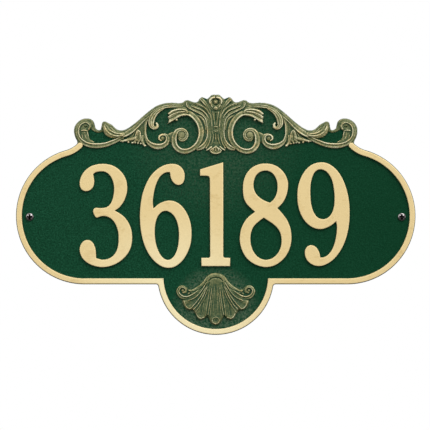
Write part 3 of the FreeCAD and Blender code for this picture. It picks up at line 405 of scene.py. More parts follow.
# Fine lines over the crest, raised where the first number is above 0 and cut where it is below:
# name, height, and points of x, rise and half width
CREST_LINES = [
    ("main leaf top", 0.8, [
        (-52, 36.6, 0.7), (-48.2, 39.5, 0.8), (-43, 41.4, 0.9), (-37, 41.9, 0.9), (-31, 40.6, 0.8)]),
    ("main leaf middle", 0.7, [(-51.6, 33.6, 0.7), (-46, 36.9, 0.8), (-40, 38.9, 0.8), (-34, 39.3, 0.7)]),
    ("main leaf foot", 0.9, [
        (-51.6, 27.2, 0.8), (-46.8, 30.1, 0.9), (-41, 33.6, 1), (-36, 35.6, 1), (-31, 36, 0.8)]),
    ("main leaf cut", -1.0, [(-51.8, 35.4, 0.7), (-46, 38.2, 0.8), (-40, 40.3, 0.8), (-33, 40.2, 0.6)]),
    ("main leaf cut 2", -1.0, [
        (-51.5, 31, 0.9), (-46, 33.7, 1.1), (-40, 36.9, 1.1), (-34, 37.9, 0.9), (-29, 36.9, 0.6)]),
    ("side leaf vein", 0.7, [
        (-121.6, 24, 0.6), (-119.8, 18.8, 0.8), (-115, 14.8, 0.9), (-108, 12.8, 0.9),
        (-101, 13.6, 0.8)]),
    ("side leaf vein 2", 0.7, [
        (-119.6, 23.8, 0.6), (-115.6, 19.6, 0.8), (-110, 16.2, 0.9), (-103, 15.4, 0.8)]),
    ("side leaf cut", -1.1, [
        (-120.3, 22.8, 0.5), (-116.6, 18, 0.9), (-111.4, 15, 0.9), (-105, 13.8, 0.7)]),
    ("pearl ring", -1.4, [
        (0, 53.4, 0.9), (-2.4, 52.4, 0.9), (-3.2, 50.1, 0.9), (-2.4, 47.8, 0.9), (0, 46.8, 0.9)]),
    ("stem line", 0.7, [
        (-99, 17.2, 0.6), (-90, 23.2, 0.7), (-80, 31.6, 0.7), (-70, 39.8, 0.7), (-60, 44.6, 0.8),
        (-47, 46.8, 0.8), (-36, 46.2, 0.7)]),
    ("junction line", 0.7, [
        (-98.5, 9.5, 0.7), (-92, 11.8, 0.8), (-88.8, 16.6, 0.8), (-84, 22.5, 0.8), (-79.5, 27, 0.7)]),
    ("arch", 0.9, [
        (-88, 8.6, 0.7), (-87.8, 13.6, 0.8), (-85.9, 18, 0.9), (-83.6, 18.2, 0.9), (-82.1, 14, 0.8),
        (-81.8, 8, 0.7)]),
    ("arch cut", -1.3, [(-84.9, 15.8, 0.9), (-84.9, 12.6, 1.2), (-85.2, 8.8, 0.8)]),
    ("end leaf top", 1.3, [(-147.2, 18.8, 0.8), (-143.8, 19.2, 1), (-140.4, 18.4, 0.8)]),
    ("end leaf edge", 1.5, [(-140.4, 17.4, 0.9), (-138.4, 11.4, 1), (-134.2, 7.1, 1), (-127, 5.1, 0.8)]),
    ("end leaf vein", 0.9, [(-146.4, 14, 0.8), (-145.2, 9.4, 1), (-141.6, 5.4, 0.9)]),
    ("end leaf vein 2", 0.7, [(-143.4, 17, 0.6), (-142.8, 13, 0.8), (-141.4, 9.6, 0.7)]),
    ("eye cut", -1.8, [(-143.8, 23.3, 0.9), (-142.4, 22.6, 1), (-141, 23.2, 0.9)]),
    ("bunch 1", 0.9, [
        (-27, 45.8, 0.6), (-20.9, 43.3, 0.8), (-15.4, 41, 0.9), (-10.8, 37, 0.9), (-8.1, 32.7, 0.7)]),
    ("bunch 2", 0.9, [(-21.5, 48.6, 0.6), (-15.4, 45.8, 0.8), (-10.2, 42, 0.9), (-7, 37, 0.8)]),
    ("bunch cut 1", -1.0, [
        (-26.4, 43.9, 0.7), (-20.9, 41.7, 0.9), (-14.5, 38.8, 0.9), (-10.9, 34.6, 0.7)]),
    ("bunch cut 2", -1.0, [(-24.5, 47.2, 0.7), (-18.1, 44.6, 0.9), (-12.7, 41.4, 0.9), (-9, 37, 0.7)]),
    ("bunch cut 3", -1.0, [(-17, 49.6, 0.8), (-12.4, 46.4, 1), (-8.2, 41.8, 0.9), (-5.9, 37, 0.6)]),
    ("petal notch", -1.6, [(0, 57.4, 0.8), (0, 54.6, 0.7)]),
    ("calyx cap", 0.8, [(-2.6, 42.6, 0.6), (0, 44.6, 0.8), (2.6, 42.6, 0.6)]),
    ("sheaf left", 0.7, [(-3.3, 39.4, 0.8), (-2.4, 34, 0.9), (-1.5, 29, 0.9), (-0.9, 25, 0.7)]),
    ("sheaf throat", -1.0, [(0, 37.5, 1.4), (0, 33, 1.2), (0, 29.4, 0.8)]),
    ("sheaf knot", 0.8, [(-2.2, 22.6, 0.7), (0, 23.4, 0.9)]),
    ("sheaf eye", -1.5, [(0, 21, 1), (0, 20.2, 1)]),
    ("sheaf knot 2", 0.8, [(-2.4, 18.6, 0.7), (0, 17.8, 0.9)]),
    ("sheaf drop", 0.8, [(0, 15.6, 0.6), (0, 12.4, 1.2), (0, 8.8, 0.7)]),
    ("sheaf side", 0.5, [(-4.9, 30, 0.6), (-4.3, 24.6, 0.8), (-3.8, 18.8, 0.8), (-3.6, 15, 0.6)]),
    ("sheaf side 2", 0.6, [(-2.3, 14.6, 0.6), (-2.8, 10, 0.9), (-4.2, 5.2, 0.9), (-5.6, 2.6, 0.6)]),
    ("sheaf side 3", 0.45, [(-5, 14, 0.6), (-5.7, 9.6, 0.8), (-7.4, 5, 0.6)]),
    ("sheaf cut", -0.6, [(-1.4, 15.4, 0.8), (-1.5, 11.4, 0.9), (-2, 6.4, 0.9)]),
    ("boss rib", 1.7, [(0, 2.2, 0.8), (0, -1, 1), (0, -3.6, 0.8)]),
    ("boss rib 2", 1.5, [(-1, 0.9, 0.7), (-2.6, -1.2, 0.9), (-3.2, -3.2, 0.7)]),
    ("boss rib 3", 1.4, [(-2, 0.2, 0.7), (-4.6, -1.5, 0.9), (-6.2, -3.1, 0.8)]),
    ("boss foot", 1.1, [(-5.6, -4.6, 0.8), (-3, -6.1, 0.9), (0, -6.5, 1)]),
]

# Strokes of the scallop's left half and middle, measured up from its lowest point
SHELL_STROKES = [
    ("side scroll", HOLLOW, 0.1, [
        (-14, 41.4, 1.4), (-18.9, 35.9, 2.6), (-25.5, 31, 2.7), (-32.5, 29.1, 2.2), (-38.7, 31.3, 2),
        (-41.4, 36.3, 1.7), (-39.4, 40.5, 1.5), (-35.6, 41.5, 1.4), (-32.6, 39, 1.3),
        (-32.9, 35.6, 1.3), (-36, 34.8, 1.1)]),
    ("upper edge", RIDGE, -0.4, [
        (0, 54.9, 1.5), (-5, 53.9, 1.4), (-9.2, 51.2, 1.4), (-12.8, 46.4, 1.4), (-17.3, 42, 1.4),
        (-22.4, 38.6, 1.4), (-27.4, 36, 1.2), (-30.4, 33.2, 1)]),
]
SHELL_MASSES = [
    ("fan", 3.2, 3.0, [
        [(0, 56.6), (-4.6, 55.8), (-8, 54.2)],
        [(-9.8, 53.2), (-11.6, 49.6), (-15.8, 44.4), (-20.9, 40.5), (-26, 38.4), (-30.6, 38)],
        [(-27.4, 33.6)],
        [(-31, 28.6), (-36, 26.8)],
        [(-36.4, 24.6), (-34.8, 20.4), (-31.4, 16.6), (-27.6, 15.6)],
        [(-25.3, 16), (-22.2, 11.4), (-20.2, 7.4), (-17.2, 5.2), (-13.6, 5.8)],
        [(-9.3, 9), (-7.4, 6.2), (-5, 2), (-2.4, -0.1), (0, -0.6)]]),
]
SHELL_BOSSES = [(-36.2, 36.6, 7, 1.3), (-36.2, 37.2, 2, 2.6)]
SHELL_LINES = [
    ("neck line", -1.0, [(0, 51.6, 1), (-4.6, 50.6, 1), (-7.8, 47.8, 0.9)]),
    ("upper line", -0.9, [
        (-10, 47.6, 0.8), (-13.6, 42.2, 1), (-18.6, 38.3, 1.1), (-24, 36.2, 1.1), (-29.5, 35.4, 0.9)]),
    ("middle flute", -0.2, [(0, 44, 1.5), (0, 34, 2.5), (0, 20, 3.2), (0, 11, 2.6)]),
    ("flute 2", -0.55, [(-7, 46, 1.2), (-10.8, 33, 2.2), (-14.4, 20, 3.2), (-16.2, 10.5, 3)]),
    ("flute 3", -0.4, [(-10.5, 43, 1), (-18.5, 31.5, 2), (-26, 24.6, 2.8), (-31.6, 21, 2.4)]),
    ("rib 1", 1.0, [(-4.4, 40, 0.5), (-5.8, 28, 0.7), (-7.4, 17, 0.8), (-8.6, 10.6, 0.8)]),
    ("rib 2", 0.7, [(-3.2, 34, 0.5), (-4.6, 24, 0.7), (-5.6, 15, 0.7), (-5.9, 9, 0.6)]),
    ("rib 3", 0.8, [(-6.9, 38, 0.5), (-8.6, 27, 0.7), (-10.2, 17, 0.7), (-11, 9.6, 0.6)]),
    ("rib 4", 1.3, [(-9.6, 41, 0.5), (-14.6, 30, 0.7), (-20.4, 20.8, 0.8), (-24.6, 16.4, 0.8)]),
    ("rib 5", 0.8, [(-8.6, 38, 0.5), (-13, 28, 0.7), (-18.4, 18.8, 0.7), (-22.4, 13.4, 0.6)]),
    ("rib 6", 0.9, [(-11.4, 40, 0.5), (-16.8, 31, 0.7), (-22.6, 23, 0.7), (-27.6, 18, 0.6)]),
    ("rib 7", 1.1, [(-10.4, 46, 0.5), (-15.6, 37, 0.7), (-22.6, 29.6, 0.8), (-30, 26.4, 0.8)]),
    ("rib 8", 0.5, [(-1.4, 42, 0.5), (-2, 28, 0.6), (-2.3, 14, 0.6)]),
    ("rib 9", 0.55, [(-8.2, 42, 0.5), (-11.6, 30, 0.6), (-14, 19, 0.7), (-15.4, 9.6, 0.6)]),
    ("rib 10", 0.55, [(-9.8, 42, 0.5), (-15.6, 31.6, 0.6), (-21.4, 24.4, 0.7), (-26.4, 18.6, 0.6)]),
    ("lobe edge", 0.9, [(-21.2, 12, 0.6), (-19.2, 8.4, 0.7), (-16.4, 6.9, 0.7), (-12.6, 8, 0.6)]),
    ("lobe edge 2", 0.9, [(-34.6, 26, 0.6), (-33.4, 21.4, 0.7), (-30.4, 18, 0.7), (-27.2, 17.4, 0.6)]),
    ("ball ring", 0.9, [
        (0, 8.2, 0.8), (-2.6, 7.2, 0.8), (-3.8, 4.6, 0.8), (-2.7, 2, 0.8), (0, 0.9, 0.8)]),
    ("ball eye", -0.5, [(-0.8, 4.6, 1.6), (0, 4.6, 1.6)]),
]


def smooth_path(points, samples=12, closed=False):
    """Smooth path through listed points, of any number of columns.

    Each stretch is the centripetal Catmull-Rom cubic of its two ends and their two neighbours: the
    knots grow with the square root of the distance, and three rounds of straight blending between
    the knots give the curve. Open ends are continued by reflection.
    """
    p = np.array(points, float)
    if closed:
        p = np.vstack([p[-1:], p, p[:2]])
    else:
        p = np.vstack([2 * p[0] - p[1], p, 2 * p[-1] - p[-2]])
    a, b, c, d = p[:-3], p[1:-2], p[2:-1], p[3:]

    def gap(start, end):
        return np.sqrt(np.linalg.norm(end - start, axis=1))[:, None, None] + 1e-9

    ta = np.zeros((len(a), 1, 1))
    tb = ta + gap(a, b)
    tc = tb + gap(b, c)
    td = tc + gap(c, d)
    t = tb + (tc - tb) * np.linspace(0, 1, samples, endpoint=False)[None, :, None]
    a, b, c, d = (q[:, None, :] for q in (a, b, c, d))

    def blend(q, r, start, end):
        return (q * (end - t) + r * (t - start)) / (end - start)

    low, middle, high = blend(a, b, ta, tb), blend(b, c, tb, tc), blend(c, d, tc, td)
    low, high = blend(low, middle, ta, tc), blend(middle, high, tb, td)
    curve = blend(low, high, tb, tc).reshape(-1, p.shape[1])
    return curve if closed else np.vstack([curve, points[-1]])


def circle_arc(centre, radius, start, end, step=0.9):
    """Points centre + radius (cos t, sin t), with t from start to end in degrees, about a step apart."""
    count = max(4, int(abs(math.radians(end - start)) * radius / step))
    t = np.radians(np.linspace(start, end, count))
    return np.stack([centre[0] + radius * np.cos(t), centre[1] + radius * np.sin(t)], axis=1)


def lower_path(inset, sharp=False):
    """The plate's edge under the crest, from left to right, drawn a distance inside it.

    It is the hollow shoulder, the round end, the straight foot, the inner corner and the lobe, all
    circle arcs that meet without a kink, and then the same turned over the middle line. Where it is
    sharp the inner corner's arc shrinks to a point.
    """
    dx, dz = END_X - CORNER_X, BODY_TOP + CREST_EDGE[0][1] - BODY_MIDDLE
    reach = math.hypot(dx, dz)
    along = (reach ** 2 + (END_RADIUS + FLARE_RADIUS) ** 2 - FLARE_RADIUS ** 2) / (2 * reach)
    aside = math.sqrt((END_RADIUS + FLARE_RADIUS) ** 2 - along ** 2)
    flare = (-END_X + (dx * along - dz * aside) / reach, BODY_MIDDLE + (dz * along + dx * aside) / reach)
    leaves = math.degrees(math.atan2(flare[1] - BODY_MIDDLE, flare[0] + END_X))
    meets = math.degrees(math.atan2(dz + BODY_MIDDLE - flare[1], -CORNER_X - flare[0]))
    fillet = 0 if sharp else LOBE_FILLET + inset
    fillet_z = BODY_FOOT + inset - fillet
    fillet_x = -math.sqrt((LOBE_RADIUS - inset + fillet) ** 2 - (LOBE_Z - fillet_z) ** 2)
    lean = math.degrees(math.atan2(fillet_z - LOBE_Z, fillet_x))
    left = np.vstack([
        circle_arc(flare, FLARE_RADIUS + inset, meets, leaves - 180),
        circle_arc((-END_X, BODY_MIDDLE), END_RADIUS - inset, leaves, 270)[1:],
        np.stack([np.linspace(-END_X, fillet_x, 60), np.full(60, BODY_FOOT + inset)], axis=1)[1:],
        circle_arc((fillet_x, fillet_z), fillet, 90, lean + 180, 0.4)[1:] if fillet else np.zeros((0, 2)),
        circle_arc((0, LOBE_Z), LOBE_RADIUS - inset, lean, -90)[1:],
    ])
    return np.vstack([left, left[-2::-1] * (-1, 1)])


def crest_edge():
    """The plate's upper edge from left to right: one smooth path and its mirror image."""
    points = np.array(CREST_EDGE, float) * (CORNER_X / DRAWN_CORNER_X, 1) + (0, BODY_TOP)
    return smooth_path(np.vstack([points, points[-2::-1] * (-1, 1)]), 10)


def plate_outline():
    """The whole edge of the plate, running against the clock as the front is read."""
    return np.vstack([lower_path(0), crest_edge()[-2:0:-1]])


def band_outline():
    """The rim's outline: two parallel paths joined by half circles round the middle path's ends."""
    outer, inner = lower_path(RIM_SETBACK), lower_path(RIM_SETBACK + RIM_WIDTH, True)
    right, left = half_circle(outer[-1], inner[-1]), half_circle(inner[0], outer[0])
    return np.vstack([outer, right, inner[::-1], left])


def half_circle(start, end):
    """Half circle from one point to another, bulging to the right of the way between them."""
    middle, arm = (start + end) / 2, (start - end) / 2
    t = np.linspace(0, math.pi, 12)[1:-1, None]
    return middle + arm * np.cos(t) + np.array([-arm[1], arm[0]]) * np.sin(t)


def outline_ring(outline):
    """A closed outline: smooth runs set end to end at corners, or one smooth ring.

    An outline that starts on the middle line is a left half, and its mirror image completes it.
    """
    if isinstance(outline[0], tuple):
        return smooth_path(outline, 8, closed=True)
    half = outline[0][0][0] == 0 and outline[-1][-1][0] == 0
    runs = []
    for run, following in zip(outline, outline[1:] + ([[]] if half else outline[:1])):
        points = np.array(run + following[:1], float)
        runs.append(smooth_path(points, 8)[:-1] if len(points) > 2 else points[:1])
    if half:
        runs.append(points[-1:])
        left = np.vstack(runs)
        return np.vstack([left, left[-2:0:-1] * (-1, 1)])
    return np.vstack(runs)


def numeral_rings(numeral):
    """The outlines of one numeral."""
    return [outline_ring(outline) for outline in GLYPHS[numeral]]


def ring_area(ring):
    """Area inside a ring, positive where it runs against the clock."""
    after = np.roll(ring, -1, axis=0)
    return np.sum(ring[:, 0] * after[:, 1] - after[:, 0] * ring[:, 1]) / 2


def inset_ring(ring, distance):
    """The ring with each corner moved to its left along the bisector, so that its sides stay parallel."""
    step = np.roll(ring, -1, axis=0) - ring
    step /= np.linalg.norm(step, axis=1)[:, None]
    before = np.roll(step, 1, axis=0)
    lean = 1 + np.sum(step * before, axis=1)
    normal = np.stack([-step[:, 1] - before[:, 1], step[:, 0] + before[:, 0]], axis=1)
    return ring + normal * (distance / np.maximum(lean, 0.35))[:, None]


class Surface:
    """Points and faces gathered from several grids, with named values at the points."""

    def __init__(self):
        self.points = []
        self.values = {}
        self.quads = []
        self.triangles = []
        self.count = 0

    def add(self, points, quads=None, triangles=None, **values):
        """Adds points, the faces that number them from 0, and a value or one for each point."""
        points = np.asarray(points, float).reshape(-1, 3)
        if quads is not None:
            self.quads.append(np.asarray(quads).reshape(-1, 4) + self.count)
        if triangles is not None:
            self.triangles.append(np.asarray(triangles).reshape(-1, 3) + self.count)
        for name, value in values.items():
            self.values.setdefault(name, []).append(np.broadcast_to(value, len(points)).ravel())
        self.points.append(points)
        self.count += len(points)

    def close(self, ring, point, **values):
        """Fills a ring of points that are there already with triangles to one more point."""
        tip = np.full(len(ring), self.count)
        self.triangles.append(np.stack([ring, np.roll(ring, -1), tip], axis=1))
        self.add([point], **values)

    def make(self, name, material, nodes):
        """Writes the mesh, with smooth quads and flat triangles, hides the CAD parts of its nodes and hangs
        it under the root body.
        """
        mesh = bpy.data.meshes.new(name)
        points = np.vstack(self.points) * MM
        quads = np.vstack(self.quads) if self.quads else np.zeros((0, 4), int)
        triangles = np.vstack(self.triangles) if self.triangles else np.zeros((0, 3), int)
        corners = np.concatenate([quads.ravel(), triangles.ravel()])
        totals = np.concatenate([np.full(len(quads), 4), np.full(len(triangles), 3)])
        mesh.vertices.add(len(points))
        mesh.vertices.foreach_set("co", points.ravel())
        mesh.loops.add(len(corners))
        mesh.loops.foreach_set("vertex_index", corners)
        mesh.polygons.add(len(totals))
        mesh.polygons.foreach_set("loop_start", np.concatenate([[0], np.cumsum(totals)[:-1]]))
        mesh.polygons.foreach_set("use_smooth", totals == 4)
        for value_name, parts in self.values.items():
            attribute = mesh.attributes.new(value_name, "FLOAT", "POINT")
            attribute.data.foreach_set("value", np.concatenate(parts))
        mesh.update(calc_edges=True)
        mesh.validate()
        mesh.materials.append(material)
        piece = bpy.data.objects.new(name, mesh)
        bpy.context.scene.collection.objects.link(piece)
        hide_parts(*nodes)
        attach(piece, "root")
        return piece


def strip_quads(rows, columns, around=True):
    """Faces of a grid of rows by columns whose columns close into a ring, or don't."""
    index = np.arange(rows * columns).reshape(rows, columns)
    if around:
        index = np.hstack([index, index[:, :1]])
    corners = [index[:-1, :-1], index[:-1, 1:], index[1:, 1:], index[1:, :-1]]
    return np.stack(corners, axis=-1).reshape(-1, 4)


def cap_triangles(rings, front):
    """Triangles that fill the first ring less the others, facing the front or the back."""
    loops = [[Vector((x, z, 0)) for x, z in ring] for ring in rings]
    triangles = np.array(tessellate_polygon(loops))
    flat = np.vstack(rings)[triangles]
    first, second = flat[:, 1] - flat[:, 0], flat[:, 2] - flat[:, 0]
    turn = first[:, 0] * second[:, 1] - first[:, 1] * second[:, 0]
    wrong = (turn < 0) == front
    triangles[wrong] = triangles[wrong][:, ::-1]
    return triangles


def in_space(ring, depth):
    """Points of the plaque's frame for a ring at a depth in front of the back."""
    return np.stack([ring[:, 0], np.full(len(ring), -depth), ring[:, 1]], axis=1)


def raise_rings(surface, rings, section, **values):
    """Carries an edge section round every ring and closes the top and the foot with flat caps.

    Point (i, j) is ring i's corner moved inwards by the section's inset j, at the section's depth j.
    """
    rings = [ring if (ring_area(ring) > 0) == (k == 0) else ring[::-1] for k, ring in enumerate(rings)]
    feet, tops = [], []
    for ring in rings:
        levels = [inset_ring(ring, inset) for inset, _ in section]
        points = np.stack([in_space(level, depth) for level, (_, depth) in zip(levels, section)])
        spread = {name: np.repeat(value, len(ring)) for name, value in values.items()}
        surface.add(points, strip_quads(len(section), len(ring)), **spread)
        feet.append(levels[0])
        tops.append(levels[-1])
    for caps, end, front in ((feet, 0, False), (tops, -1, True)):
        points = in_space(np.vstack(caps), section[end][1])
        end_values = {name: value[end] for name, value in values.items()}
        surface.add(points, triangles=cap_triangles(caps, front), **end_values)


def screw_places():
    """Middles of the two screws, from their boxes in the frame."""
    places = []
    for node in ("left_screw", "right_screw"):
        low, high = (np.array(corner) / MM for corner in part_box(node))
        places.append(((low + high) / 2)[[0, 2]])
    return places


def make_plate(material):
    """The plate: its softened edge carried round the outline, flat faces, and the screw holes."""
    surface = Surface()
    outline = plate_outline()
    levels = [inset_ring(outline, inset) for inset, _ in PLATE_EDGE]
    points = np.stack([in_space(level, depth) for level, (_, depth) in zip(levels, PLATE_EDGE)])
    surface.add(points, strip_quads(len(PLATE_EDGE), len(outline)))
    holes = [circle_arc(place, HOLE_RADIUS, 360, 0, 0.5)[:-1] for place in screw_places()]
    for hole in holes:
        surface.add(np.stack([in_space(hole, 0), in_space(hole, PLATE)]), strip_quads(2, len(hole)))
    for level, depth, front in ((levels[0], 0, False), (levels[-1], PLATE, True)):
        rings = [level] + holes
        surface.add(in_space(np.vstack(rings), depth), triangles=cap_triangles(rings, front))
    return surface.make("enamelled_plate", material, ["cast_plaque"])


def make_rim(material):
    """The raised rim, one ring with rounded edges."""
    surface = Surface()
    raise_rings(surface, [band_outline()], RAISED_EDGE, gold=RAISED_GOLD, border=RAISED_EDGE_HIGHLIGHT)
    return surface.make("gold_rim", material, ["cast_plaque"])


def make_numerals(material):
    """Each numeral is a block of its rings; the gaps between their widths set the row."""
    drawn = [numeral_rings(numeral) for numeral in NUMERALS]
    widths = [rings[0][:, 0].max() for rings in drawn]
    x = NUMERAL_MIDDLE - (sum(widths) + sum(NUMERAL_GAPS)) / 2
    for place, (rings, width, gap) in enumerate(zip(drawn, widths, NUMERAL_GAPS + [0])):
        surface = Surface()
        moved = [ring + (x, NUMERAL_BASE) for ring in rings]
        raise_rings(surface, moved, RAISED_EDGE, gold=RAISED_GOLD, border=RAISED_EDGE_HIGHLIGHT)
        surface.make(f"numeral_{place + 1}", material, ["cast_plaque"])
        x += width + gap


def ease(value, start, end):
    """Smooth step: 0 below start, 1 above end, and 3 t^2 - 2 t^3 between them."""
    t = np.clip((value - start) / (end - start), 0, 1)
    return t * t * (3 - 2 * t)


def section_height(kind, s, half, side):
    """Height of a stroke's section, as a share, at the distance s from its middle, 1 at its edge.

    Most fall off as the root of 1 - s^4. A hollow keeps its two rims at HOLLOW_RIM and sinks between
    them with the square of the way to them, and its rim on the inner side of the bend, side = 1,
    stands higher. A leaf has three veins, a cosine of s. A ridge falls off as the root of 1 - s^2.6.
    The hollow and the veins run out where the stroke is thin.
    """
    fall = np.sqrt(np.clip(1 - s ** 4, 0, 1))
    if kind == HOLLOW:
        depth = HOLLOW_DEPTH * ease(half, 0.9, 1.7)
        lean = np.where(side > 0, INNER_RIM, OUTER_RIM)
        return fall * (1 - depth + (depth + lean) * np.clip(s / HOLLOW_RIM, 0, 1) ** 2)
    if kind == LEAF:
        between = 0.5 - 0.5 * np.cos(2 * math.pi * s / VEIN_PERIOD)
        return fall * (1 - VEIN_HEIGHT * between * ease(half, 0.8, 1.8))
    return np.sqrt(np.clip(1 - s ** 2.6, 0, 1))


def nearest_station(points, x, z):
    """For grid points near a stroke: which they are, their share s of the half width, that half width,
    and 1 or -1 for the inner or the outer side of the path's bend.

    A grid point belongs to the station c of the path whose distance, as a share of its half width,
    is least; that share is s, less the part of the way that runs along the path and is no longer
    than half a step between stations. Past the path's two ends the way out counts 1 / END_SHARE times.
    """
    path = smooth_path(points)
    tangent = np.gradient(path[:, :2], axis=0)
    step = np.linalg.norm(tangent, axis=1) + 1e-9
    tangent /= step[:, None]
    reach = path[:, 2].max() + 0.5
    near = (x > path[:, 0].min() - reach) & (x < path[:, 0].max() + reach)
    near &= (z > path[:, 1].min() - reach) & (z < path[:, 1].max() + reach)
    if not near.any():
        return near, np.zeros(0), np.zeros(0), np.zeros(0)
    dx = x[near][:, None] - path[None, :, 0]
    dz = z[near][:, None] - path[None, :, 1]
    share = np.hypot(dx, dz) / path[None, :, 2]
    best = share.argmin(axis=1)
    rows = np.arange(len(best))
    s = share[rows, best]
    half = path[best, 2]
    dx, dz = dx[rows, best], dz[rows, best]
    bend = np.sign(np.sum(tangent[:-1, 0] * tangent[1:, 1] - tangent[:-1, 1] * tangent[1:, 0]))
    side = np.sign(tangent[best, 0] * dz - tangent[best, 1] * dx) * bend
    along = (dx * tangent[best, 0] + dz * tangent[best, 1]) / half
    out = np.where(best == 0, np.maximum(-along, 0), 0)
    out += np.where(best == len(path) - 1, np.maximum(along, 0), 0)
    between = np.clip(along, -0.5 * step[best] / half, 0.5 * step[best] / half)
    aside = s ** 2 - np.where(out > 0, out, between) ** 2
    return near, np.sqrt(np.maximum(aside, 0) + (out / END_SHARE) ** 2), half, side


def stroke_height(kind, lift, points, x, z):
    """Height of one stroke over the grid, minus infinity away from it."""
    near, s, half, side = nearest_station(points, x, z)
    height = np.full(x.shape, -np.inf)
    full = RELIEF_LOW + (RELIEF_HIGH - RELIEF_LOW) * np.minimum(half / RELIEF_FULL_WIDTH, 1) + lift
    height[near] = np.where(s < 1, full * section_height(kind, s, half, side), -np.inf)
    return height


def line_height(amount, points, x, z):
    """What a fine line adds: its amount times (1 - s^2)^2."""
    near, s, _, _ = nearest_station(points, x, z)
    added = np.zeros(x.shape)
    added[near] = amount * np.clip(1 - s ** 2, 0, 1) ** 2
    return added


def mass_height(top, roll, outline, x, z):
    """Height of a mass at the depth d inside its outline: top * sqrt(1 - (1 - d / roll)^2)."""
    ring = outline_ring(outline)
    ring = ring if ring_area(ring) > 0 else ring[::-1]
    near = (x > ring[:, 0].min()) & (x < ring[:, 0].max()) & (z > ring[:, 1].min()) & (z < ring[:, 1].max())
    height = np.full(x.shape, -np.inf)
    if near.any():
        depth = depth_inside(x[near], z[near], ring)
        share = np.clip(depth / roll, 0, 1)
        height[near] = np.where(depth > 0, top * np.sqrt(1 - (1 - share) ** 2), -np.inf)
    return height


def soft_top(a, b):
    """The higher of two heights, with the crease between them rounded over RELIEF_BLEND."""
    a, b = np.maximum(a, RELIEF_SUNK), np.maximum(b, RELIEF_SUNK)
    gap = np.clip(1 - np.abs(a - b) / RELIEF_BLEND, 0, 1)
    return np.maximum(a, b) + np.where(np.minimum(a, b) > 0, gap ** 2 * RELIEF_BLEND / 4, 0)


def soften(field, reach):
    """Blur of a grid by a bell of the given reach, in millimetres, along one axis, then the other."""
    count = int(math.ceil(2.5 * reach / RELIEF_STEP))
    offsets = np.arange(-count, count + 1)
    weights = np.exp(-0.5 * (offsets * RELIEF_STEP / reach) ** 2)
    weights /= weights.sum()
    for axis in (0, 1):
        padded = np.pad(field, [(count, count) if k == axis else (0, 0) for k in (0, 1)], mode="edge")
        length = field.shape[axis]
        field = sum(w * np.take(padded, np.arange(k, k + length), axis=axis) for k, w in enumerate(weights))
    return field


def depth_inside(x, z, outline):
    """Distance from each point to the nearest point of an outline, positive inside it.

    The side is the sign of the way from that point times the outline's inward normal there.
    """
    step = np.roll(outline, -1, axis=0) - np.roll(outline, 1, axis=0)
    normal = np.stack([-step[:, 1], step[:, 0]], axis=1) / np.linalg.norm(step, axis=1)[:, None]
    result = np.empty(len(x))
    for start in range(0, len(x), 4000):
        part = slice(start, start + 4000)
        dx = x[part][:, None] - outline[None, :, 0]
        dz = z[part][:, None] - outline[None, :, 1]
        best = (dx ** 2 + dz ** 2).argmin(axis=1)
        rows = np.arange(len(best))
        near = np.hypot(dx[rows, best], dz[rows, best])
        side = dx[rows, best] * normal[best, 0] + dz[rows, best] * normal[best, 1]
        result[part] = np.where(side > 0, near, -near)
    return result


def gold_rub(height, depth, wash):
    """How much gold a brush leaves: a wash, thinner on the low forms, and more on what stands proud.

    What stands proud is height less its blur, a wide one for the forms and a narrow one for the
    lines. Over the last two millimetres before the plate's edge the gold thins, so the edge is darker.
    """
    forms = np.clip(height - soften(height, FORM_BLUR), -0.3, 1.5)
    lines = np.clip(height - soften(height, LINE_BLUR), -0.2, 0.7)
    edge_fade = EDGE_GOLD + (1 - EDGE_GOLD) * ease(depth, 0.9, 2.3)
    even = wash * (0.55 + 0.45 * ease(height, 1.0, 3.4)) + HEIGHT_GOLD * np.clip(height / RELIEF_HIGH, 0, 1)
    rub = (even + FORM_GOLD * forms + LINE_GOLD * lines) * edge_fade
    return np.clip(rub, 0, 1.1) * ease(height, 0.1, 0.9)


def carved_height(pattern, x, z):
    """Height of a carved pattern at each (x, z): the soft highest of its forms, then its lines.

    Gaps in which more than half of the ground within about WEB_REACH is raised are filled to
    WEB_HEIGHT. Strokes and masses are drawn on the left, and the fold at x = 0 mirrors them; those
    that end near the middle are drawn from both sides, so that they run into each other.
    """
    folded = -np.abs(x)
    height = np.full(x.shape, RELIEF_SUNK)
    for _, top, roll, outline in pattern["masses"]:
        height = soft_top(height, mass_height(top, roll, outline, folded, z))
    for _, kind, lift, points in pattern["strokes"]:
        height = soft_top(height, stroke_height(kind, lift, points, folded, z))
        if max(points[0][0], points[-1][0]) > -8:
            height = soft_top(height, stroke_height(kind, lift, points, -folded, z))
    for boss_x, boss_z, radius, top in pattern["bosses"]:
        s = np.hypot(folded - boss_x, z - boss_z) / radius
        height = soft_top(height, np.where(s < 1, top * np.sqrt(np.clip(1 - s ** 2, 0, 1)), -np.inf))
    cover = soften((height > 0.3).astype(float), WEB_REACH)
    height = np.maximum(height, RELIEF_SUNK + (WEB_HEIGHT - RELIEF_SUNK) * ease(cover, 0.5, 0.7))
    added = np.zeros(x.shape)
    for _, amount, points in pattern["lines"]:
        added += line_height(amount, points, folded, z)
    return np.where(height > 0, np.maximum(height + added * ease(height, 0.2, 1.2), 0.1), height)


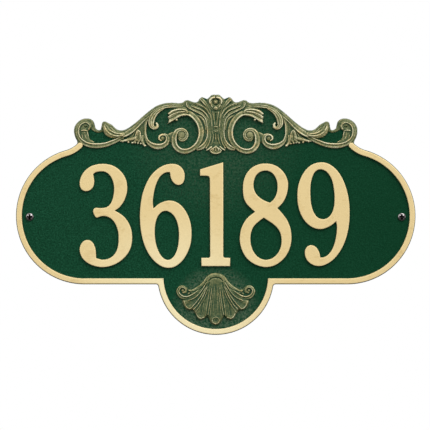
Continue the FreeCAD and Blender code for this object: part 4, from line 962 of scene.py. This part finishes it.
def relief_piece(name, material, pattern, x_range, z_range, place_z, outline=None):
    """One carved pattern as a grid of heights over the plate, the same on both sides of the middle.

    Past the pattern the grid runs under the plate's front, where cells that nobody can see are left
    out, and near the plate's edge it falls off like a quarter circle.
    """
    columns = np.arange(x_range[0], x_range[1] + RELIEF_STEP, RELIEF_STEP)
    rows = np.arange(z_range[0], z_range[1] + RELIEF_STEP, RELIEF_STEP)
    x, z = np.meshgrid(columns, rows)
    height = carved_height(pattern, x, z)
    depth = np.full(x.shape, 9.0)
    if outline is not None:
        raised = height > RELIEF_SUNK + 0.01
        depth[raised] = depth_inside(x[raised], z[raised] + place_z, outline)
        shoulder = RELIEF_SUNK + 5.6 * np.sqrt(np.clip((depth + 0.05) / EDGE_REACH, 0, 1))
        height = np.where(depth < EDGE_REACH - 0.05, np.minimum(height, shoulder), height)
    rub = gold_rub(height, depth, pattern["wash"])
    height = np.maximum(soften(height, 0.16), RELIEF_SUNK)
    quads = strip_quads(*x.shape, around=False)
    seen = height.ravel()[quads].max(axis=1) > RELIEF_SUNK + 0.12
    quads = quads[seen]
    used = np.unique(quads)
    number = np.zeros(x.size, int)
    number[used] = np.arange(len(used))
    points = np.stack([x.ravel(), -PLATE - height.ravel(), z.ravel() + place_z], axis=1)[used]
    surface = Surface()
    surface.add(points, number[quads], rub=rub.ravel()[used])
    return surface.make(name, material, ["cast_plaque"])


def screw_surface(node, material):
    """A pan-head screw as one closed surface over the turn u and the way from the crown to the tip.

    Its radius and depth follow a profile: a crown that falls with the square of the radius, a rounded
    edge, the seat, the shank, and a point whose radius is the way left to the power 0.6. The crown is
    sunk by two crossed bars with sloping sides. The thread adds a clipped triangle wave of
    depth / pitch - u / 2 pi to the radius.
    """
    low, high = (np.array(corner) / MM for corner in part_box(node))
    middle_x, middle_z = (low[0] + high[0]) / 2, (low[2] + high[2]) / 2
    tip = high[1]
    crown = -PLATE - HEAD_HEIGHT
    way = np.linspace(0, 1, 34)[1:]
    bend = np.linspace(0, math.pi / 2, 7)[1:]
    thread_y = np.arange(0.3, tip - POINT_LENGTH, 0.16)
    point_y = np.linspace(tip - POINT_LENGTH, tip - 0.05, 32)
    radius = np.concatenate([
        CROWN_RADIUS * way,
        CROWN_RADIUS + (HEAD_RADIUS - CROWN_RADIUS) * np.sin(bend),
        [HEAD_RADIUS, HEAD_RADIUS - 0.08, CORE_RADIUS, CORE_RADIUS],
        np.full(len(thread_y), CORE_RADIUS),
        POINT_RADIUS * ((tip - point_y) / POINT_LENGTH) ** 0.6,
    ])
    depth = np.concatenate([
        crown + CROWN_SWELL * way ** 2,
        crown + CROWN_SWELL + EDGE_DEPTH * (1 - np.cos(bend)),
        [-PLATE - 0.1, -PLATE, -PLATE, 0],
        thread_y,
        point_y,
    ])
    u = np.linspace(0, 2 * math.pi, TURN_STEPS, endpoint=False)
    r, y = (np.repeat(column[:, None], TURN_STEPS, axis=1) for column in (radius, depth))
    threaded = ease(y, 0.2, 1.6) * (1 - ease(y, tip - 3.0, tip - 0.5))
    wave = np.abs((y / THREAD_PITCH - u / (2 * math.pi)) % 1 - 0.5) * 2
    r = r + threaded * THREAD_DEPTH * np.clip(1.5 * wave - 0.5, 0, 1)
    across, up = r * np.cos(u), r * np.sin(u)
    flat, upright = (np.maximum(np.abs(p) / RECESS_SPAN, np.abs(q) / RECESS_HALF)
                     for p, q in ((across, up), (up, across)))
    arms = np.minimum(flat, upright)
    on_crown = y < crown + CROWN_SWELL + 0.05
    sink = RECESS_DEPTH * ease(1.12 - arms, 0.0, 0.42) * on_crown
    # 0 in the cross recess, which is coloured near black as painted shade, and 1 elsewhere
    wear = 1 - ease(1.25 - arms, 0.0, 0.25) * on_crown
    surface = Surface()
    points = np.stack([middle_x + across, y + sink, middle_z + up], axis=2)
    surface.add(points, strip_quads(len(radius), TURN_STEPS)[:, ::-1], wear=wear.ravel())
    ring = np.arange(TURN_STEPS)
    surface.close(ring, (middle_x, crown + RECESS_DEPTH, middle_z), wear=0.0)
    surface.close(ring[::-1] + (len(radius) - 1) * TURN_STEPS, (middle_x, tip, middle_z), wear=1.0)
    return surface.make(node + "_detailed", material, [node])


def new_material(name):
    """A material with its Principled shader, its nodes and a function that links two sockets."""
    material = bpy.data.materials.new(name)
    material.use_nodes = True
    nodes = material.node_tree.nodes
    return nodes["Principled BSDF"], nodes, material.node_tree.links.new, material


def noise(nodes, link, size, detail=3.0, roughness=0.5, stretch=None):
    """Noise on object coordinates whose lumps are about size millimetres across."""
    place = nodes.new("ShaderNodeTexCoord").outputs["Object"]
    if stretch:
        mapping = nodes.new("ShaderNodeMapping")
        mapping.inputs["Scale"].default_value = stretch
        link(place, mapping.inputs["Vector"])
        place = mapping.outputs["Vector"]
    texture = nodes.new("ShaderNodeTexNoise")
    texture.inputs["Scale"].default_value = 1 / (size * MM)
    texture.inputs["Detail"].default_value = detail
    texture.inputs["Roughness"].default_value = roughness
    link(place, texture.inputs["Vector"])
    return texture.outputs["Fac"]


def reading(nodes, name):
    """A value stored at the points of the mesh."""
    attribute = nodes.new("ShaderNodeAttribute")
    attribute.attribute_name = name
    return attribute.outputs["Fac"]


def math_node(nodes, link, kind, first, second, clamp=False):
    """A sum, product or the like of two sockets or numbers, kept between 0 and 1 if asked."""
    node = nodes.new("ShaderNodeMath")
    node.operation = kind
    node.use_clamp = clamp
    for socket, value in zip(node.inputs, (first, second)):
        if isinstance(value, (int, float)):
            socket.default_value = value
        else:
            link(value, socket)
    return node.outputs[0]


def swing(nodes, link, value, amount):
    """The value's distance from one half, times an amount."""
    return math_node(nodes, link, "MULTIPLY", math_node(nodes, link, "SUBTRACT", value, 0.5), amount)


def ramp(nodes, link, value, stops):
    """Colour that runs through the stops, pairs of a value and a colour."""
    node = nodes.new("ShaderNodeValToRGB")
    elements = node.color_ramp.elements
    while len(elements) < len(stops):
        elements.new(0.5)
    for element, (position, colour) in zip(elements, stops):
        element.position = position
        element.color = (*colour, 1)
    link(value, node.inputs["Fac"])
    return node.outputs["Color"]


def mix(nodes, link, share, first, second):
    """Colour between two others by a share that varies over the surface."""
    node = nodes.new("ShaderNodeMix")
    node.data_type = "RGBA"
    link(share, node.inputs["Factor"])
    for socket, colour in ((node.inputs["A"], first), (node.inputs["B"], second)):
        if isinstance(colour, tuple):
            socket.default_value = (*colour, 1)
        else:
            link(colour, socket)
    return node.outputs["Result"]


def grain(nodes, link, shader, heights, strength, depth):
    """Bump of the added heights, as deep as depth millimetres."""
    total = heights[0]
    for height in heights[1:]:
        total = math_node(nodes, link, "ADD", total, height)
    bump = nodes.new("ShaderNodeBump")
    bump.inputs["Strength"].default_value = strength
    bump.inputs["Distance"].default_value = depth * MM
    link(total, bump.inputs["Height"])
    link(bump.outputs["Normal"], shader.inputs["Normal"])


def near_place(nodes, link, place, near, far):
    """1 within the first distance of a place (x, z) of the front, 0 past the second, in millimetres."""
    apart = nodes.new("ShaderNodeVectorMath")
    apart.operation = "DISTANCE"
    link(nodes.new("ShaderNodeTexCoord").outputs["Object"], apart.inputs[0])
    apart.inputs[1].default_value = (place[0] * MM, -PLATE * MM, place[1] * MM)
    share = nodes.new("ShaderNodeMapRange")
    share.inputs["From Min"].default_value = near * MM
    share.inputs["From Max"].default_value = far * MM
    share.inputs["To Min"].default_value = 1
    share.inputs["To Max"].default_value = 0
    link(apart.outputs["Value"], share.inputs["Value"])
    return share.outputs["Result"]


def enamel_colour(nodes, link):
    """Green enamel, mottled by the sand-cast grain under it and faintly cloudy, with painted shade that
    darkens it towards the right end.
    """
    fine = ramp(nodes, link, noise(nodes, link, 1.6, 4, 0.7),
                [(0.36, ENAMEL_DARK), (0.5, ENAMEL), (0.64, ENAMEL_LIGHT)])
    cloud = noise(nodes, link, 60, 2)
    share = math_node(nodes, link, "SUBTRACT", cloud, 0.35, True)
    share = math_node(nodes, link, "MULTIPLY", share, 0.6, True)
    clouded = mix(nodes, link, share, fine, ENAMEL_CLOUD)
    # Painted shade: the enamel darkens towards the right end, as if less light fell there
    deep = math_node(nodes, link, "MULTIPLY", near_place(nodes, link, SHADE_PLACE, 20, 260), 0.6)
    return mix(nodes, link, deep, clouded, ENAMEL_SHADED)


def green_enamel():
    """Enamel, whose front has a little gold dust from the brush round the scallop and under the crest."""
    shader, nodes, link, material = new_material("green_enamel")
    flecks = ramp(nodes, link, noise(nodes, link, 2.4, 4, 0.7), [(0.42, (0, 0, 0)), (0.66, (1, 1, 1))])
    under_crest = near_place(nodes, link, (0, 92), 44, 100)
    under_crest = math_node(nodes, link, "MULTIPLY", under_crest, DUST_UNDER_CREST)
    around = math_node(nodes, link, "MAXIMUM", near_place(nodes, link, (0, -101), 34, 50), under_crest)
    facing = nodes.new("ShaderNodeSeparateXYZ")
    link(nodes.new("ShaderNodeTexCoord").outputs["Normal"], facing.inputs[0])
    front = math_node(nodes, link, "MULTIPLY", facing.outputs["Y"], -1.0, True)
    dust = math_node(nodes, link, "MULTIPLY", flecks, math_node(nodes, link, "MULTIPLY", around, front))
    link(mix(nodes, link, dust, enamel_colour(nodes, link), DUST), shader.inputs["Base Color"])
    grain(nodes, link, shader, [noise(nodes, link, 1.3, 3, 0.6), noise(nodes, link, 4.0, 2)], 0.8, 0.35)
    rough = nodes.new("ShaderNodeMapRange")
    rough.inputs["To Min"].default_value = 0.40
    rough.inputs["To Max"].default_value = 0.58
    link(noise(nodes, link, 2.5, 3), rough.inputs["Value"])
    link(rough.outputs["Result"], shader.inputs["Roughness"])
    shader.inputs["Specular IOR Level"].default_value = 0.06
    return material


def gold_colour(nodes, link):
    """Flat gold paint with faint smudges and fine brush lines."""
    smudge = noise(nodes, link, 16, 4, 0.6)
    lines = noise(nodes, link, 2.2, 3, 0.6, (0.35, 1, 1))
    both = math_node(nodes, link, "ADD", math_node(nodes, link, "MULTIPLY", smudge, 0.65),
                     math_node(nodes, link, "MULTIPLY", lines, 0.35))
    return ramp(nodes, link, both, [(0.34, GOLD_SMUDGE), (0.47, GOLD), (0.62, GOLD), (0.75, GOLD_LIGHT)])


def gold_paint():
    """Gold on the tops, enamel down the walls, a painted highlight of lighter gold along the edges, and a
    painted sheen of paler gold round one place.
    """
    shader, nodes, link, material = new_material("gold_on_enamel")
    ragged = swing(nodes, link, noise(nodes, link, 1.2, 3), 0.25)
    share = math_node(nodes, link, "ADD", reading(nodes, "gold"), ragged, True)
    # Painted highlight: a line of lighter gold along the top edges of the rim and numerals
    edge = math_node(nodes, link, "MULTIPLY", reading(nodes, "border"), 0.55)
    # Painted sheen: the gold turns paler near one place, as if more light fell there
    near = near_place(nodes, link, SHEEN_PLACE, 50, 135)
    pale = mix(nodes, link, near, gold_colour(nodes, link), GOLD_SHEEN)
    gold = mix(nodes, link, edge, pale, GOLD_LIGHT)
    link(mix(nodes, link, share, enamel_colour(nodes, link), gold), shader.inputs["Base Color"])
    grain(nodes, link, shader, [noise(nodes, link, 1.0, 3, 0.6), noise(nodes, link, 5.0, 2)], 0.25, 0.12)
    shader.inputs["Roughness"].default_value = 0.5
    shader.inputs["Specular IOR Level"].default_value = 0.15
    return material


def rubbed_gold():
    """Enamel in the hollows, an olive wash over the carving and gold where a brush has caught it."""
    shader, nodes, link, material = new_material("rubbed_gold")
    share = math_node(nodes, link, "MULTIPLY", reading(nodes, "rub"), 3.0, True)
    uneven = swing(nodes, link, noise(nodes, link, 1.8, 4, 0.75), 1.25)
    patches = swing(nodes, link, noise(nodes, link, 8, 2), 0.55)
    both = math_node(nodes, link, "MULTIPLY", math_node(nodes, link, "ADD", uneven, patches), share)
    rub = math_node(nodes, link, "ADD", reading(nodes, "rub"), both, True)
    worn = ramp(nodes, link, rub, RUB_STOPS)
    warm = ramp(nodes, link, noise(nodes, link, 7, 3), [(0.45, (1, 1, 1)), (0.64, (1.0, 0.86, 0.68))])
    tint = nodes.new("ShaderNodeMix")
    tint.data_type = "RGBA"
    tint.blend_type = "MULTIPLY"
    link(rub, tint.inputs["Factor"])
    link(worn, tint.inputs["A"])
    link(warm, tint.inputs["B"])
    link(tint.outputs["Result"], shader.inputs["Base Color"])
    grain(nodes, link, shader, [noise(nodes, link, 0.9, 4, 0.65), noise(nodes, link, 3.0, 2)], 0.6, 0.4)
    shader.inputs["Roughness"].default_value = 0.48
    shader.inputs["Specular IOR Level"].default_value = 0.2
    return material


def dark_screw():
    """Glossy dark brown finish, blackened in the recess by painted shade, and scuffed on the thread."""
    shader, nodes, link, material = new_material("dark_screw_finish")
    # Near black where the value is 0, as painted shade in the cross recess, and random scuffs elsewhere
    scuff_and_recess_shade = math_node(nodes, link, "MULTIPLY", reading(nodes, "wear"), noise(nodes, link, 1.5, 4))
    link(ramp(nodes, link, scuff_and_recess_shade, SCREW_STOPS), shader.inputs["Base Color"])
    grain(nodes, link, shader, [noise(nodes, link, 0.7, 3)], 0.2, 0.05)
    shader.inputs["Roughness"].default_value = 0.22
    shader.inputs["Metallic"].default_value = 0.95
    return material


def stage_material(name, colour, white):
    """Pale matt finish; white where the camera, a gloss or glass looks straight at it, if asked."""
    shader, nodes, link, material = new_material(name)
    shader.inputs["Base Color"].default_value = (*colour, 1)
    shader.inputs["Roughness"].default_value = 0.9
    shader.inputs["Specular IOR Level"].default_value = 0.1
    if white:
        path = nodes.new("ShaderNodeLightPath").outputs
        shiny = math_node(nodes, link, "MAXIMUM", path["Is Glossy Ray"], path["Is Transmission Ray"])
        seen = math_node(nodes, link, "MAXIMUM", path["Is Camera Ray"], shiny)
        glow = nodes.new("ShaderNodeEmission")
        glow.inputs["Strength"].default_value = 1.0
        join = nodes.new("ShaderNodeMixShader")
        link(seen, join.inputs["Fac"])
        link(shader.outputs["BSDF"], join.inputs[1])
        link(glow.outputs["Emission"], join.inputs[2])
        link(join.outputs["Shader"], nodes["Material Output"].inputs["Surface"])
    return material


def make_stage():
    """Floor and a backdrop behind the plaque, in metres."""
    floor_z, wall_y, half = -0.75, 3.8, 4.5
    foot = [(half, wall_y, floor_z), (-half, wall_y, floor_z)]
    sheets = {
        "floor": [(-half, -half, floor_z), (half, -half, floor_z)] + foot,
        "backdrop": foot[::-1] + [(half, wall_y, half), (-half, wall_y, half)],
    }
    for name, corners in sheets.items():
        mesh = bpy.data.meshes.new(name)
        mesh.from_pydata(corners, [], [(0, 1, 2, 3)])
        mesh.materials.append(stage_material(name + "_matt", STAGE_COLOURS[name], name == "backdrop"))
        sheet = bpy.data.objects.new(name, mesh)
        bpy.context.scene.collection.objects.link(sheet)


def make_lamp(name, place, size, power):
    """A square lamp that faces the plaque's middle."""
    lamp = bpy.data.lights.new(name, "AREA")
    lamp.size = size
    lamp.energy = power
    holder = bpy.data.objects.new(name, lamp)
    holder.location = place
    holder.rotation_euler = (-Vector(place)).to_track_quat("-Z", "Y").to_euler()
    bpy.context.scene.collection.objects.link(holder)


def make_light():
    """Soft key from the upper right, a weaker fill from the left, and a sky that is pale above."""
    make_lamp("key", KEY_PLACE, KEY_SIZE, KEY_POWER)
    make_lamp("fill", FILL_PLACE, FILL_SIZE, FILL_POWER)
    world = bpy.data.worlds.new("studio")
    world.use_nodes = True
    nodes, link = world.node_tree.nodes, world.node_tree.links.new
    height = nodes.new("ShaderNodeVectorMath")
    height.operation = "DOT_PRODUCT"
    link(nodes.new("ShaderNodeTexCoord").outputs["Generated"], height.inputs[0])
    height.inputs[1].default_value = WORLD_LEAN
    level = nodes.new("ShaderNodeMapRange")
    level.inputs["From Min"].default_value = WORLD_DARK
    level.inputs["To Max"].default_value = WORLD_HIGH
    link(height.outputs["Value"], level.inputs["Value"])
    nodes["Background"].inputs["Color"].default_value = (1, 1, 1, 1)
    link(level.outputs["Result"], nodes["Background"].inputs["Strength"])
    bpy.context.scene.world = world
    bpy.context.scene.view_settings.view_transform = "Standard"


def make_camera():
    """Camera square to the plaque's front, as wide as the photograph's frame at that plane."""
    camera = bpy.data.cameras.new("camera")
    camera.sensor_width = 36.0
    camera.lens = camera.sensor_width * (CAMERA_DISTANCE - PLATE) / FRAME_WIDTH
    camera.clip_end = 100
    holder = bpy.data.objects.new("camera", camera)
    holder.location = (FRAME_MIDDLE[0] * MM, -CAMERA_DISTANCE * MM, FRAME_MIDDLE[1] * MM)
    holder.rotation_euler = (math.pi / 2, 0, 0)
    bpy.context.scene.collection.objects.link(holder)
    bpy.context.scene.camera = holder


make_camera()
make_light()
make_stage()

enamel = green_enamel()
gold = gold_paint()
rubbed = rubbed_gold()
screw_finish = dark_screw()

make_plate(enamel)
make_rim(gold)
make_numerals(gold)
crest_x = CREST_REACH * CORNER_X / DRAWN_CORNER_X
crest = {"strokes": CREST_STROKES, "masses": CREST_MASSES, "bosses": CREST_BOSSES,
         "lines": CREST_LINES, "wash": CREST_WASH}
relief_piece("crest_left", rubbed, crest, (-crest_x, 0), CREST_BAND, BODY_TOP, plate_outline())
relief_piece("crest_right", rubbed, crest, (0, crest_x), CREST_BAND, BODY_TOP, plate_outline())
fan = {"strokes": SHELL_STROKES, "masses": SHELL_MASSES, "bosses": SHELL_BOSSES,
       "lines": SHELL_LINES, "wash": SHELL_WASH}
relief_piece("scallop", rubbed, fan, (-SHELL_WIDTH / 2 - 2, SHELL_WIDTH / 2 + 2), SHELL_BAND, SHELL_LOW)
screw_surface("left_screw", screw_finish)
screw_surface("right_screw", screw_finish)
